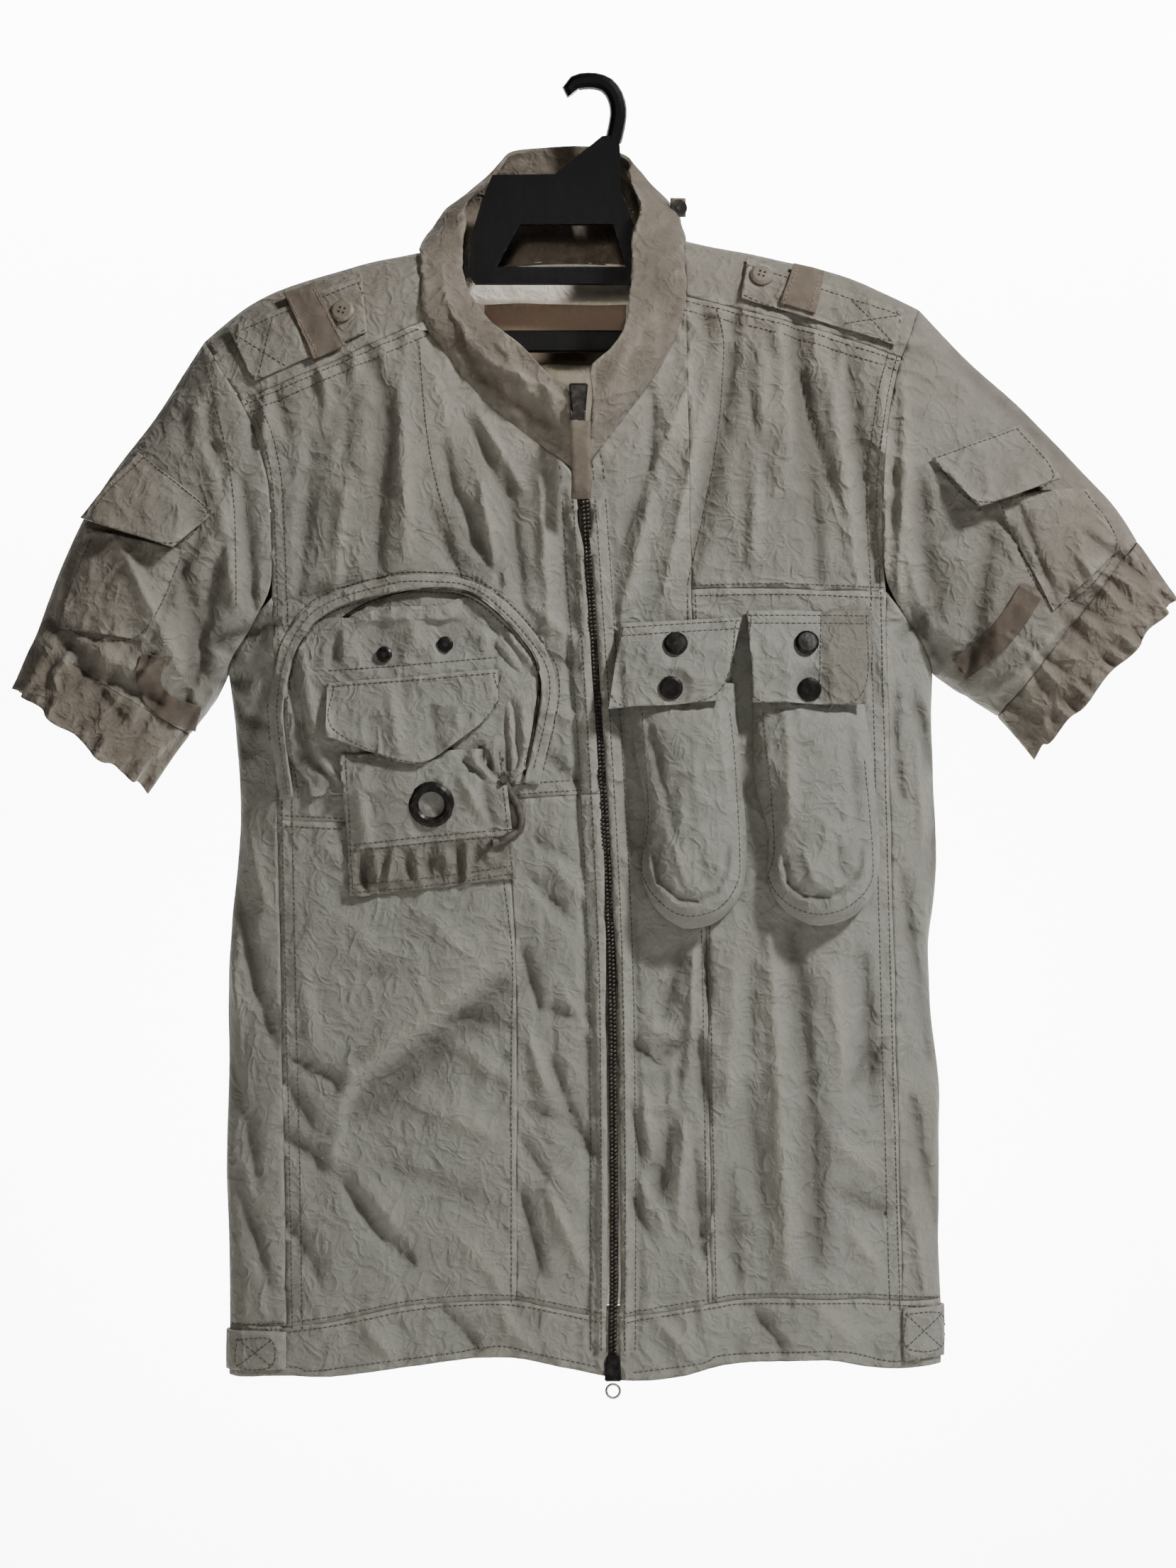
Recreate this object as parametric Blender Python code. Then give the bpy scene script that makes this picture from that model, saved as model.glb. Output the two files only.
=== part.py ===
"""A short-sleeved zip shirt with cargo pockets, hanging on a plastic hanger.

Sizes are in millimetres and become metres where a mesh is made. X runs to the
right as the front is seen, Y to the back and Z up. The origin is the inner
crown of the hanger's hook. Every cloth panel is a grid of points that it
shares with its neighbours at the seams, given the thickness of the cloth.
"""

import math
from collections import namedtuple

import bmesh
import bpy
from mathutils import Vector
from mathutils.bvhtree import BVHTree

MM = 0.001

# Cloth
WALL = 1.6
COLLAR_WALL = 2.4
HEM_WALL = 2.2
HALF_GAP = 0.15
SHELL_POWER = 2.4
SHOULDER_ROLL = 60.0

# Grid of the body: rows up each panel and columns across it
ROWS_LOWER = 10
ROWS_MIDDLE = 4
ROWS_UPPER = 6
ROW_WAIST = ROWS_LOWER
ROW_ARM = ROWS_LOWER + ROWS_MIDDLE
ROW_TOP = ROWS_LOWER + ROWS_MIDDLE + ROWS_UPPER
CHEST_COLUMNS = 6
STRIP_COLUMNS = 5
SIDE_COLUMNS = 6
NECK_COLUMNS = 5
YOKE_ROWS = 8
SLEEVE_RINGS = 7
COLLAR_ROWS = 5
COLLAR_BULGE = 11.0
CUFF_RINGS = 3
CUFF_WAVES = 11

# Zip, buttons and snaps
CHAIN_WIDTH = 6.0
CHAIN_WALL = 2.0
SNAP_DIAMETER = 15.0
SMALL_SNAP_DIAMETER = 10.0
BUTTON_DIAMETER = 15.0
GROMMET_OUTER = 29.0
GROMMET_INNER = 16.5
RING_RADIUS = 4.3
RING_WIRE = 0.9
RING_GAP = 0.9
ARMPIT_Z = -377.0
LIFT = 0.7

Section = namedtuple("Section", "z left right front back")
Point = namedtuple("Point", "x z")
Fold = namedtuple("Fold", "x0 z0 x1 z1 width height")
Finish = namedtuple("Finish", "colour roughness metallic")

SECTIONS = (
    Section(-825, -235, 222, 36, 34),
    Section(-770, -237, 223, 38, 34),
    Section(-640, -237, 222, 42, 34),
    Section(-560, -236, 216, 45, 34),
    Section(-505, -231, 220, 47, 34),
    Section(-430, -229, 220, 50, 33),
    Section(-377, -235, 218, 51, 31),
    Section(-300, -262, 238, 53, 29),
    Section(-240, -285, 256, 53, 28),
    Section(-200, -296, 264, 46, 27),
    Section(-160, -300, 270, 38, 27),
    Section(-90, -300, 270, 36, 27),
)

# Line of the shoulders, with the hump that stands for the open neck between them
RIDGE = (
    Point(-260, -167), Point(-249.5, -160.5), Point(-221.5, -135.5), Point(-182, -120),
    Point(-136.5, -108), Point(-110, -102.6), Point(-85, -72), Point(-27, -40),
    Point(30, -66), Point(56, -95), Point(96, -103.5), Point(126, -109.8),
    Point(163.6, -118.4), Point(207, -140), Point(215, -146),
)

# Seams down the front: height and distance across
SIDE_SEAM_LEFT = ((-825, -194.4), (-500, -199.8), (-326, -203))
SIDE_SEAM_RIGHT = ((-825, 197), (-500, 189), (-326, 184))
PRINCESS_LEFT = ((-825, -50), (-545, -49.7), (-430, -60), (-326, -78))
PRINCESS_RIGHT = ((-825, 75), (-700, 73), (-535, 70), (-321, 61))
ARM_LEFT = ((-326, -203), (-293, -204), (-254, -206), (-225, -212), (-201.6, -223.3))
ARM_RIGHT = ((-326, 184), (-262, 181.3), (-205, 187), (-173, 194.4))
ZIP_LINE = ((-825, 11.8), (-661, 11.8), (-508, 8.6), (-266, -6.3), (-246, -9.0), (-195, -10.4))
ZIP_HALF = ((-825, 4.0), (-266, 3.5), (-246, 3.6))

# Bottom edge and the seam above the hem band: distance across and height
HEM_EDGE = (
    (-236, -818), (-229, -821.7), (-190, -818.6), (-180, -821), (-130, -814), (-86, -808),
    (-60, -804), (-42, -807.7), (3, -817), (24, -820.8), (68, -815.4), (79, -811),
    (114, -808.7), (158, -808.7), (188, -816), (223, -812),
)
HEM_SEAM = (
    (-236, -791), (-200, -788.7), (-160, -782.4), (-112, -772.5), (-55, -769.3),
    (2, -780.2), (21, -780.2), (75, -771.6), (96, -769.3), (160, -769.3), (223, -773.4),
)
WAIST_SEAM = ((-236, -462), (-160, -468), (-40, -452), (10, -450), (60, -452), (190, -460))
CHEST_SEAM = ((-203, -326), (-78, -322), (0, -330), (61, -321), (184, -322))

# Top edges of the fronts and the back, from the shoulder end to the zip
YOKE_SEAM_LEFT = (Point(-223.3, -201.6), Point(-165, -176.5), Point(-108.5, -151.4))
NECKLINE_LEFT = (
    Point(-108.5, -151.4), Point(-98.5, -164), Point(-78.6, -193.5), Point(-50, -219),
    Point(-12.6, -246),
)
YOKE_SEAM_RIGHT = (Point(194.4, -173.1), Point(130, -153), Point(57.9, -135.1))
NECKLINE_RIGHT = (
    Point(57.9, -135.1), Point(53, -158), Point(41, -182), Point(22, -209), Point(-5.4, -244),
)
BACK_SEAM_LEFT = (Point(-236, -196), Point(-170, -158), Point(-104, -124))
BACK_SEAM_RIGHT = (Point(201, -174), Point(125, -140), Point(52, -116))
BACK_NECK = (Point(-104, -124), Point(-66, -111), Point(-26, -107), Point(14, -108), Point(52, -116))
SHOULDER_END_LEFT = Point(-249.5, -160.5)
SHOULDER_END_RIGHT = Point(207, -140)
NECK_POINT_LEFT = Point(-110, -102.6)
NECK_POINT_RIGHT = Point(57.5, -95.5)

# Top edge of the collar: across, depth and height
COLLAR_RIGHT = (
    (-1.8, -66, -182), (13.6, -60, -166), (20.3, -51, -150), (23, -34, -117), (22, -14, -76),
    (23, 14, -42),
)
COLLAR_BACK = ((23, 14, -42), (3, 31, -32.5), (-35, 34, -32.5), (-55.6, 25, -37))
COLLAR_LEFT = (
    (-55.6, 25, -37), (-71, 8, -65), (-82, -10, -93), (-84, -22, -110.7), (-81, -34, -128),
    (-67, -46, -150), (-43.4, -58, -170), (-33, -63, -183.5), (-16.5, -67, -197),
)

# Outlines of the sleeves seen from the front: top line, bottom line and cuff
SLEEVE_TOP_LEFT = (
    Point(-249.5, -160.5), Point(-283.9, -214), Point(-307.8, -245), Point(-329, -276),
    Point(-343.5, -314), Point(-358, -351),
)
SLEEVE_LOW_LEFT = (Point(-235, ARMPIT_Z), Point(-243, -394), Point(-251, -404), Point(-258, -412))
CUFF_END_LEFT = (Point(-369, -383), Point(-286, -447))
SLEEVE_TOP_RIGHT = (
    Point(207, -140), Point(241.4, -176), Point(274.8, -205.2), Point(305, -237),
    Point(330, -262), Point(346, -288),
)
SLEEVE_LOW_RIGHT = (Point(218, ARMPIT_Z), Point(233, -387.4), Point(246, -394), Point(257, -400))
CUFF_END_RIGHT = (Point(371, -326), Point(281, -425))

FRONT_FOLDS = (
    Fold(-48, -555, -172, -690, 15, -7),
    Fold(-60, -528, -185, -640, 16, 4),
    Fold(-50, -612, -160, -745, 20, 4),
    Fold(-100, -700, -180, -760, 14, -3),
    Fold(-140, -180, -120, -320, 16, 3),
    Fold(-175, -210, -165, -330, 12, -3),
    Fold(-70, -240, -60, -330, 12, 3),
    Fold(122, -155, 134, -310, 12, 4),
    Fold(148, -150, 160, -305, 11, -5),
    Fold(174, -180, 172, -310, 9, 4),
    Fold(90, -160, 84, -310, 12, -3),
    Fold(106, -560, 96, -765, 13, -6),
    Fold(136, -590, 140, -765, 15, 5),
    Fold(168, -560, 172, -765, 11, -4),
    Fold(40, -555, 46, -760, 10, -3),
    Fold(-24, -560, -22, -765, 12, 3),
    Fold(-190, -400, -192, -780, 8, -3),
    Fold(188, -400, 190, -780, 8, -3),
)
BACK_FOLDS = (
    Fold(-150, -220, -160, -640, 20, 4),
    Fold(-80, -200, -70, -700, 22, -4),
    Fold(10, -180, 0, -760, 26, 4),
    Fold(90, -220, 84, -700, 22, -4),
    Fold(150, -230, 160, -640, 20, 4),
)
SIDE_WAVES = 2.5

CLOTH = Finish((0.26, 0.235, 0.2), 0.85, 0.0)
TWILL = Finish((0.2, 0.15, 0.115), 0.85, 0.0)
LABEL = Finish((0.16, 0.1, 0.06), 0.8, 0.0)
PLASTIC = Finish((0.01, 0.01, 0.012), 0.45, 0.0)
DARK_METAL = Finish((0.045, 0.04, 0.036), 0.4, 0.9)
STEEL = Finish((0.6, 0.6, 0.58), 0.3, 1.0)
CHAIN = Finish((0.05, 0.042, 0.036), 0.5, 0.6)
BUTTON = Finish((0.18, 0.155, 0.13), 0.5, 0.0)


def smooth(pairs, key):
    """Value at a key on a smooth curve through (key, value) pairs."""
    pairs = sorted(pairs)
    if key <= pairs[0][0]:
        return pairs[0][1]
    if key >= pairs[-1][0]:
        return pairs[-1][1]
    last = len(pairs) - 1
    low = next(n for n in range(last) if key <= pairs[n + 1][0])

    def slope(n):
        before, after = pairs[max(n - 1, 0)], pairs[min(n + 1, last)]
        return (after[1] - before[1]) / (after[0] - before[0])

    (key0, value0), (key1, value1) = pairs[low], pairs[low + 1]
    span = key1 - key0
    t = (key - key0) / span
    return ((1 + 2 * t) * (1 - t) ** 2 * value0 + t * (1 - t) ** 2 * span * slope(low)
            + t * t * (3 - 2 * t) * value1 + t * t * (t - 1) * span * slope(low + 1))


def path(points, fraction):
    """Point at a fraction of the length of a smooth curve through points."""
    lengths = [0.0]
    for a, b in zip(points, points[1:]):
        lengths.append(lengths[-1] + math.dist(a, b))
    at = fraction * lengths[-1]
    return tuple(smooth(tuple(zip(lengths, axis)), at) for axis in zip(*points))


def column_of(rows, name):
    """(height, value) pairs of one named column of the body's sections."""
    return tuple((row.z, getattr(row, name)) for row in rows)


def body_outline(z):
    """Centre, half width, front depth and back depth of the body at a height."""
    left = smooth(column_of(SECTIONS, "left"), z)
    right = smooth(column_of(SECTIONS, "right"), z)
    front = smooth(column_of(SECTIONS, "front"), z)
    back = smooth(column_of(SECTIONS, "back"), z)
    return (left + right) / 2, (right - left) / 2, front, back


def shoulder_factor(x, z):
    """How far the cloth has rolled out from the line of the shoulder, 0 to 1."""
    drop = (smooth(RIDGE, x) - z) / SHOULDER_ROLL
    drop = min(max(drop, 0.0), 1.0)
    return math.sqrt(1 - (1 - drop) ** 2)


def fold_height(folds, x, z):
    """Height of all the folds in a table at one place on the cloth."""
    total = 0.0
    for fold in folds:
        run_x, run_z = fold.x1 - fold.x0, fold.z1 - fold.z0
        t = ((x - fold.x0) * run_x + (z - fold.z0) * run_z) / (run_x ** 2 + run_z ** 2)
        t = min(max(t, 0.0), 1.0)
        away = math.hypot(x - fold.x0 - t * run_x, z - fold.z0 - t * run_z)
        total += fold.height * math.exp(-(away / fold.width) ** 2)
    return total


def body_point(x, z, is_front):
    """Point on the outside of the front or the back of the body."""
    centre, half, front, back = body_outline(z)
    across = min(abs((x - centre) / half), 1.0)
    bulge = (1 - across ** SHELL_POWER) ** (1 / SHELL_POWER) * shoulder_factor(x, z)
    if is_front:
        return Vector((x, -front * bulge - fold_height(FRONT_FOLDS, x, z), z))
    return Vector((x, back * bulge + fold_height(BACK_FOLDS, x, z) * bulge, z))


def side_point(front_point, back_point, fraction, z, sign):
    """Point round the side of the body, between a front seam and a back seam."""
    centre, half, front, back = body_outline(z)

    def angle(x):
        across = min(abs((x - centre) / half), 1.0)
        return math.asin(across ** (SHELL_POWER / 2))

    start, end = angle(front_point.x), math.pi - angle(back_point.x)
    turn = start + (end - start) * fraction
    across = abs(math.sin(turn)) ** (2 / SHELL_POWER)
    depth = abs(math.cos(turn)) ** (2 / SHELL_POWER)
    y = -front * depth if math.cos(turn) > 0 else back * depth
    wave = SIDE_WAVES * math.sin(math.pi * fraction) * math.sin(z / 47 + sign)
    return Vector((centre + sign * (half * across - abs(wave)), y, z))


class Half:
    """The columns of one front, from the side seam to the zip."""

    def __init__(self, sign, side, princess, arm, yoke_seam, neckline, junction):
        self.sign = sign
        self.side, self.princess, self.arm = side, princess, arm
        self.yoke_seam, self.neckline = yoke_seam, neckline
        self.junction = junction
        self.columns = CHEST_COLUMNS + STRIP_COLUMNS

    def line(self, column, z):
        """Distance across of a column at a height, before the top is shaped."""
        zip_edge = smooth(ZIP_LINE, z) + self.sign * smooth(ZIP_HALF, z)
        side, princess = smooth(self.side, z), smooth(self.princess, z)
        if column <= CHEST_COLUMNS:
            return side + (princess - side) * column / CHEST_COLUMNS
        return princess + (zip_edge - princess) * (column - CHEST_COLUMNS) / STRIP_COLUMNS

    def top(self, column):
        """Point on the top edge where a column ends."""
        if column <= self.junction:
            return Point(*path(self.yoke_seam, column / self.junction))
        fraction = (column - self.junction) / (self.columns - self.junction)
        return Point(*path(self.neckline, fraction))

    def level(self, table, column, guess):
        """Point where a column crosses a seam that runs across the body."""
        x = self.line(column, guess)
        for _ in range(3):
            x = self.line(column, smooth(table, x))
        return Point(x, smooth(table, x))

    def place(self, column, row):
        """Place of one grid point seen from the front."""
        hem = self.level(HEM_SEAM, column, -780)
        waist = self.level(WAIST_SEAM, column, -460)
        chest = self.level(CHEST_SEAM, column, -325)
        if row <= ROW_WAIST:
            z = hem.z + (waist.z - hem.z) * row / ROWS_LOWER
            return Point(self.line(column, z), z)
        if row <= ROW_ARM:
            z = waist.z + (chest.z - waist.z) * (row - ROW_WAIST) / ROWS_MIDDLE
            return Point(self.line(column, z), z)
        top = self.top(column)
        t = (row - ROW_ARM) / ROWS_UPPER
        x, z = chest.x + (top.x - chest.x) * t, chest.z + (top.z - chest.z) * t
        edge = smooth(self.arm, z) - (self.line(0, -326) + (self.top(0).x - self.line(0, -326)) * t)
        fade = max(0.0, 1 - column / CHEST_COLUMNS)
        return Point(x + edge * fade, z)

    def grid(self):
        """Rows of points from the hem seam up, each from the side to the zip."""
        return [[body_point(*self.place(column, row), True) for column in range(self.columns + 1)]
                for row in range(ROW_TOP + 1)]


LEFT = Half(-1, SIDE_SEAM_LEFT, PRINCESS_LEFT, ARM_LEFT, YOKE_SEAM_LEFT, NECKLINE_LEFT,
            CHEST_COLUMNS)
RIGHT = Half(1, SIDE_SEAM_RIGHT, PRINCESS_RIGHT, ARM_RIGHT, YOKE_SEAM_RIGHT, NECKLINE_RIGHT,
             CHEST_COLUMNS)


def part_of(grid, rows, columns):
    """The block of a grid between two rows and two columns, both included."""
    return [line[columns[0]:columns[1] + 1] for line in grid[rows[0]:rows[1] + 1]]


def mirrored(grid):
    """A grid with the order of its columns turned round."""
    return [list(reversed(line)) for line in grid]


def back_grid():
    """Rows of points on the back, each from the right side seam to the left."""
    columns = 2 * CHEST_COLUMNS + NECK_COLUMNS
    grid = []
    for row in range(ROW_TOP + 1):
        line = []
        for column in range(columns + 1):
            if column <= CHEST_COLUMNS:
                top = Point(*path(BACK_SEAM_RIGHT, column / CHEST_COLUMNS))
            elif column <= CHEST_COLUMNS + NECK_COLUMNS:
                top = Point(*path(BACK_NECK, 1 - (column - CHEST_COLUMNS) / NECK_COLUMNS))
            else:
                top = Point(*path(BACK_SEAM_LEFT, (columns - column) / CHEST_COLUMNS))
            across = column / columns

            def line_x(z):
                right, left = smooth(SIDE_SEAM_RIGHT, z), smooth(SIDE_SEAM_LEFT, z)
                return right + (left - right) * across

            levels = [smooth(table, line_x(z)) for table, z in
                      ((HEM_SEAM, -780), (WAIST_SEAM, -460), (CHEST_SEAM, -326))]
            if row <= ROW_WAIST:
                z = levels[0] + (levels[1] - levels[0]) * row / ROWS_LOWER
                place = Point(line_x(z), z)
            elif row <= ROW_ARM:
                z = levels[1] + (levels[2] - levels[1]) * (row - ROW_WAIST) / ROWS_MIDDLE
                place = Point(line_x(z), z)
            else:
                t = (row - ROW_ARM) / ROWS_UPPER
                start = line_x(levels[2])
                z = levels[2] + (top.z - levels[2]) * t
                x = start + (top.x - start) * t
                inward = 10 * math.sin(math.pi * t) * (1 - 2 * across)
                place = Point(x - inward * abs(1 - 2 * across), z)
            line.append(body_point(*place, False))
        grid.append(line)
    return grid


def side_grid(front_edge, back_edge, sign):
    """Rows round one side, from the front seam to the back seam, up to the armpit."""
    grid = []
    for row in range(ROW_ARM + 1):
        front, back = front_edge[row], back_edge[row]
        rise = (front.z - front_edge[0].z) / (front_edge[ROW_ARM].z - front_edge[0].z)
        line = [front]
        for column in range(1, SIDE_COLUMNS):
            fraction = column / SIDE_COLUMNS
            seam_z = front_edge[ROW_ARM].z
            top_z = ARMPIT_Z + (seam_z - ARMPIT_Z) * abs(2 * fraction - 1) ** 1.6
            foot_z = front_edge[0].z + (back_edge[0].z - front_edge[0].z) * fraction
            z = foot_z + (top_z - foot_z) * rise
            line.append(side_point(front, back, fraction, z, sign))
        line.append(back)
        grid.append(line)
    return grid


def yoke_grid(front_line, back_line, shoulder_end, neck_point):
    """Rows over the shoulder from the front seam to the back seam, across to the neck."""
    half_rows = YOKE_ROWS // 2
    count = len(front_line) - 1
    grid = [front_line]
    for row in range(1, YOKE_ROWS):
        line = []
        for column in range(count + 1):
            ridge_x = shoulder_end.x + (neck_point.x - shoulder_end.x) * column / count
            ridge = Point(ridge_x, smooth(RIDGE, ridge_x))
            start = front_line[column] if row <= half_rows else back_line[column]
            steps = row if row <= half_rows else YOKE_ROWS - row
            t = math.sin(math.pi / 2 * steps / half_rows)
            x, z = start.x + (ridge.x - start.x) * t, start.z + (ridge.z - start.z) * t
            if row == half_rows:
                line.append(Vector((ridge.x, 0.0, ridge.z)))
                continue
            depth = abs(start.y) * math.sqrt(max(0.0, 1 - t * t))
            line.append(Vector((x, math.copysign(depth, start.y), z)))
        grid.append(line)
    grid.append(back_line)
    return grid


def hem_grid(top_line, point_below):
    """Hem band under a row of points: its edge, a middle row and the seam row."""
    bottom = [point_below(point, smooth(HEM_EDGE, point.x)) for point in top_line]
    middle = [(low + high) / 2 for low, high in zip(bottom, top_line)]
    return [bottom, middle, top_line]


def hem_point(point, z):
    """Point at the hem's edge below a point of the hem seam."""
    _, _, front, back = body_outline(z)
    _, _, front_above, back_above = body_outline(point.z)
    scale = front / front_above if point.y < 0 else back / back_above
    return Vector((point.x, point.y * scale, z))


def arc_fractions(points):
    """Fraction of the length at each point of a line."""
    lengths = [0.0]
    for a, b in zip(points, points[1:]):
        lengths.append(lengths[-1] + (b - a).length)
    return [length / lengths[-1] for length in lengths]


def sleeve_grid(front_loop, back_loop, top_line, low_line, depth_front, depth_back):
    """Rings of a sleeve from the armhole to the cuff seam, and their angles.

    Both loops run from the shoulder to the armpit. The ring goes down the front
    loop and back up the back loop.
    """
    turns = [math.pi * f for f in arc_fractions(front_loop)]
    turns += [2 * math.pi - math.pi * f for f in reversed(arc_fractions(back_loop))][1:]
    armhole = front_loop + list(reversed(back_loop))[1:]
    start_top, start_low = Point(*path(top_line, 0)), Point(*path(low_line, 0))
    rings = [armhole]
    for ring in range(1, SLEEVE_RINGS + 1):
        t = ring / SLEEVE_RINGS
        top, low = Point(*path(top_line, t)), Point(*path(low_line, t))
        shape = sleeve_ring(top, low, depth_front, depth_back, turns)
        moved_top = Vector((top.x - start_top.x, 0, top.z - start_top.z))
        moved_low = Vector((low.x - start_low.x, 0, low.z - start_low.z))
        line = []
        for turn, origin, target in zip(turns, armhole, shape):
            share = (1 + math.cos(turn)) / 2
            carried = origin + moved_top * share + moved_low * (1 - share)
            blend = t * t * (3 - 2 * t)
            line.append(carried.lerp(target, blend))
        rings.append(line)
    return rings, turns


def sleeve_ring(top, low, depth_front, depth_back, turns):
    """A flattened ring between a top point and a low point seen from the front."""
    centre = Vector(((top.x + low.x) / 2, 0, (top.z + low.z) / 2))
    reach = Vector(((top.x - low.x) / 2, 0, (top.z - low.z) / 2))
    line = []
    for turn in turns:
        along = math.copysign(abs(math.cos(turn)) ** 0.85, math.cos(turn))
        depth = abs(math.sin(turn)) ** 0.85
        y = -depth_front * depth if math.sin(turn) > 0 else depth_back * depth
        line.append(centre + reach * along + Vector((0, y, 0)))
    return line


def doubled(line):
    """A line with a point halfway along each of its steps."""
    out = [line[0]]
    for a, b in zip(line, line[1:]):
        out += [(a + b) / 2, b]
    return out


def cuff_grid(seam, ends, depth_front, depth_back, turns):
    """Gathered cuff from the elastic seam out to its wavy edge."""
    seam = doubled(seam)
    turns = [t for pair in zip(turns, turns[1:]) for t in (pair[0], (pair[0] + pair[1]) / 2)]
    turns.append(2 * math.pi)
    edge = sleeve_ring(*ends, depth_front, depth_back, turns)
    edge[-1] = edge[0].copy()
    outward = Vector((ends[0].x + ends[1].x, 0, ends[0].z + ends[1].z)) / 2
    outward = (outward - (seam[0] + seam[len(seam) // 2]) / 2).normalized()
    centre = sum((p for p in edge[:-1]), Vector()) / (len(edge) - 1)
    rings = [seam]
    for ring in range(1, CUFF_RINGS + 1):
        t = ring / CUFF_RINGS
        line = []
        for turn, a, b in zip(turns, seam, edge):
            point = a.lerp(b, t)
            wave = math.sin(CUFF_WAVES * turn) * t
            point += (b - centre).normalized() * wave * 3.5 + outward * wave * 2.0
            line.append(point)
        line[-1] = line[0].copy()
        rings.append(line)
    return rings


def collar_grid(base, sections):
    """Rows of the collar from the neckline up to its free edge."""
    top = []
    for count, points in sections:
        top += [Vector(path(points, n / count)) for n in range(0 if not top else 1, count + 1)]
    middle = Vector((-28, -5, 0))
    grid = [base]
    for row in range(1, COLLAR_ROWS + 1):
        t = row / COLLAR_ROWS
        line = []
        for low, high in zip(base, top):
            point = low.lerp(high, t)
            out = Vector((point.x - middle.x, point.y - middle.y, 0)).normalized()
            side = abs(out.x) ** 2
            line.append(point + out * COLLAR_BULGE * math.sin(math.pi * t) * (0.35 + 0.65 * side))
        grid.append(line)
    return grid


def key_of(point):
    """A point's place rounded, so that panels find the points they share."""
    return (round(point.x, 3), round(point.y, 3), round(point.z, 3))


class Sewn:
    """The cloth panels, whose walls meet in a mitre along their shared seams."""

    def __init__(self):
        self.panels = []
        self.normals = {}

    def add(self, name, grid, wall, finish=CLOTH, closed=False):
        """Take a panel, and add its faces' directions to its points."""
        self.panels.append((name, grid, wall, finish, closed))
        for row in range(len(grid) - 1):
            for column in range(len(grid[0]) - 1):
                a, b = grid[row][column], grid[row][column + 1]
                c, d = grid[row + 1][column + 1], grid[row + 1][column]
                face = (c - a).cross(d - b)
                if face.length < 1e-9:
                    continue
                face.normalize()
                for corner in {key_of(p) for p in (a, b, c, d)}:
                    self.normals[corner] = self.normals.get(corner, Vector()) + face

    def build(self):
        """Make every panel a closed wall."""
        for name, grid, wall, finish, closed in self.panels:
            outward = [[self.normals[key_of(p)].normalized() for p in line] for line in grid]
            make_wall(name, grid, outward, wall, finish, closed)


def inset(grid, outward, closed):
    """A grid and its directions with the open edges drawn in by half a seam gap."""
    moved = [[p.copy() for p in line] for line in grid]
    last_row, last_column = len(grid) - 1, len(grid[0]) - 1
    for column in range(last_column + 1):
        for edge, inner in ((0, 1), (last_row, last_row - 1)):
            step = (grid[inner][column] - grid[edge][column]).normalized()
            moved[edge][column] += step * HALF_GAP
    if not closed:
        for row in range(last_row + 1):
            for edge, inner in ((0, 1), (last_column, last_column - 1)):
                step = (grid[row][inner] - grid[row][edge]).normalized()
                moved[row][edge] += step * HALF_GAP
    return moved, outward


def make_wall(name, grid, outward, wall, finish, closed=False):
    """Closed wall whose outside is a grid of points and whose inside is set back."""
    grid, outward = inset(grid, outward, closed)
    rows, columns = len(grid), len(grid[0]) - (1 if closed else 0)
    mesh = bmesh.new()
    outer = [[mesh.verts.new(grid[r][c] * MM) for c in range(columns)] for r in range(rows)]
    inner = [[mesh.verts.new((grid[r][c] - outward[r][c] * wall) * MM) for c in range(columns)]
             for r in range(rows)]
    spans = columns if closed else columns - 1
    for r in range(rows - 1):
        for c in range(spans):
            n = (c + 1) % columns
            mesh.faces.new((outer[r][c], outer[r][n], outer[r + 1][n], outer[r + 1][c]))
            mesh.faces.new((inner[r][n], inner[r][c], inner[r + 1][c], inner[r + 1][n]))
    for c in range(spans):
        n = (c + 1) % columns
        mesh.faces.new((outer[0][n], outer[0][c], inner[0][c], inner[0][n]))
        mesh.faces.new((outer[-1][c], outer[-1][n], inner[-1][n], inner[-1][c]))
    if not closed:
        for r in range(rows - 1):
            mesh.faces.new((outer[r][0], outer[r + 1][0], inner[r + 1][0], inner[r][0]))
            mesh.faces.new((outer[r + 1][-1], outer[r][-1], inner[r][-1], inner[r + 1][-1]))
    return finish_object(name, mesh, finish)


def finish_object(name, mesh, finish, origin=None):
    """Object from a mesh, with its own material."""
    bmesh.ops.triangulate(mesh, faces=[f for f in mesh.faces if len(f.verts) == 4],
                          quad_method="SHORT_EDGE")
    data = bpy.data.meshes.new(name)
    if origin is not None:
        bmesh.ops.translate(mesh, verts=mesh.verts, vec=-origin * MM)
    mesh.to_mesh(data)
    mesh.free()
    thing = bpy.data.objects.new(name, data)
    if origin is not None:
        thing.location = origin * MM
    bpy.context.scene.collection.objects.link(thing)
    material = bpy.data.materials.new(name)
    material.use_nodes = True
    shader = material.node_tree.nodes["Principled BSDF"]
    shader.inputs["Base Color"].default_value = (*finish.colour, 1)
    shader.inputs["Roughness"].default_value = finish.roughness
    shader.inputs["Metallic"].default_value = finish.metallic
    data.materials.append(material)
    data.shade_smooth()
    data.set_sharp_from_angle(angle=math.radians(40))
    return thing


def grid_normals(grid):
    """Outward direction at each point of a grid, from its neighbours."""
    last_row, last_column = len(grid) - 1, len(grid[0]) - 1
    out = []
    for r, line in enumerate(grid):
        directions = []
        for c in range(len(line)):
            along = line[min(c + 1, last_column)] - line[max(c - 1, 0)]
            up = grid[min(r + 1, last_row)][c] - grid[max(r - 1, 0)][c]
            directions.append(along.cross(up).normalized())
        out.append(directions)
    return out


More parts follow.
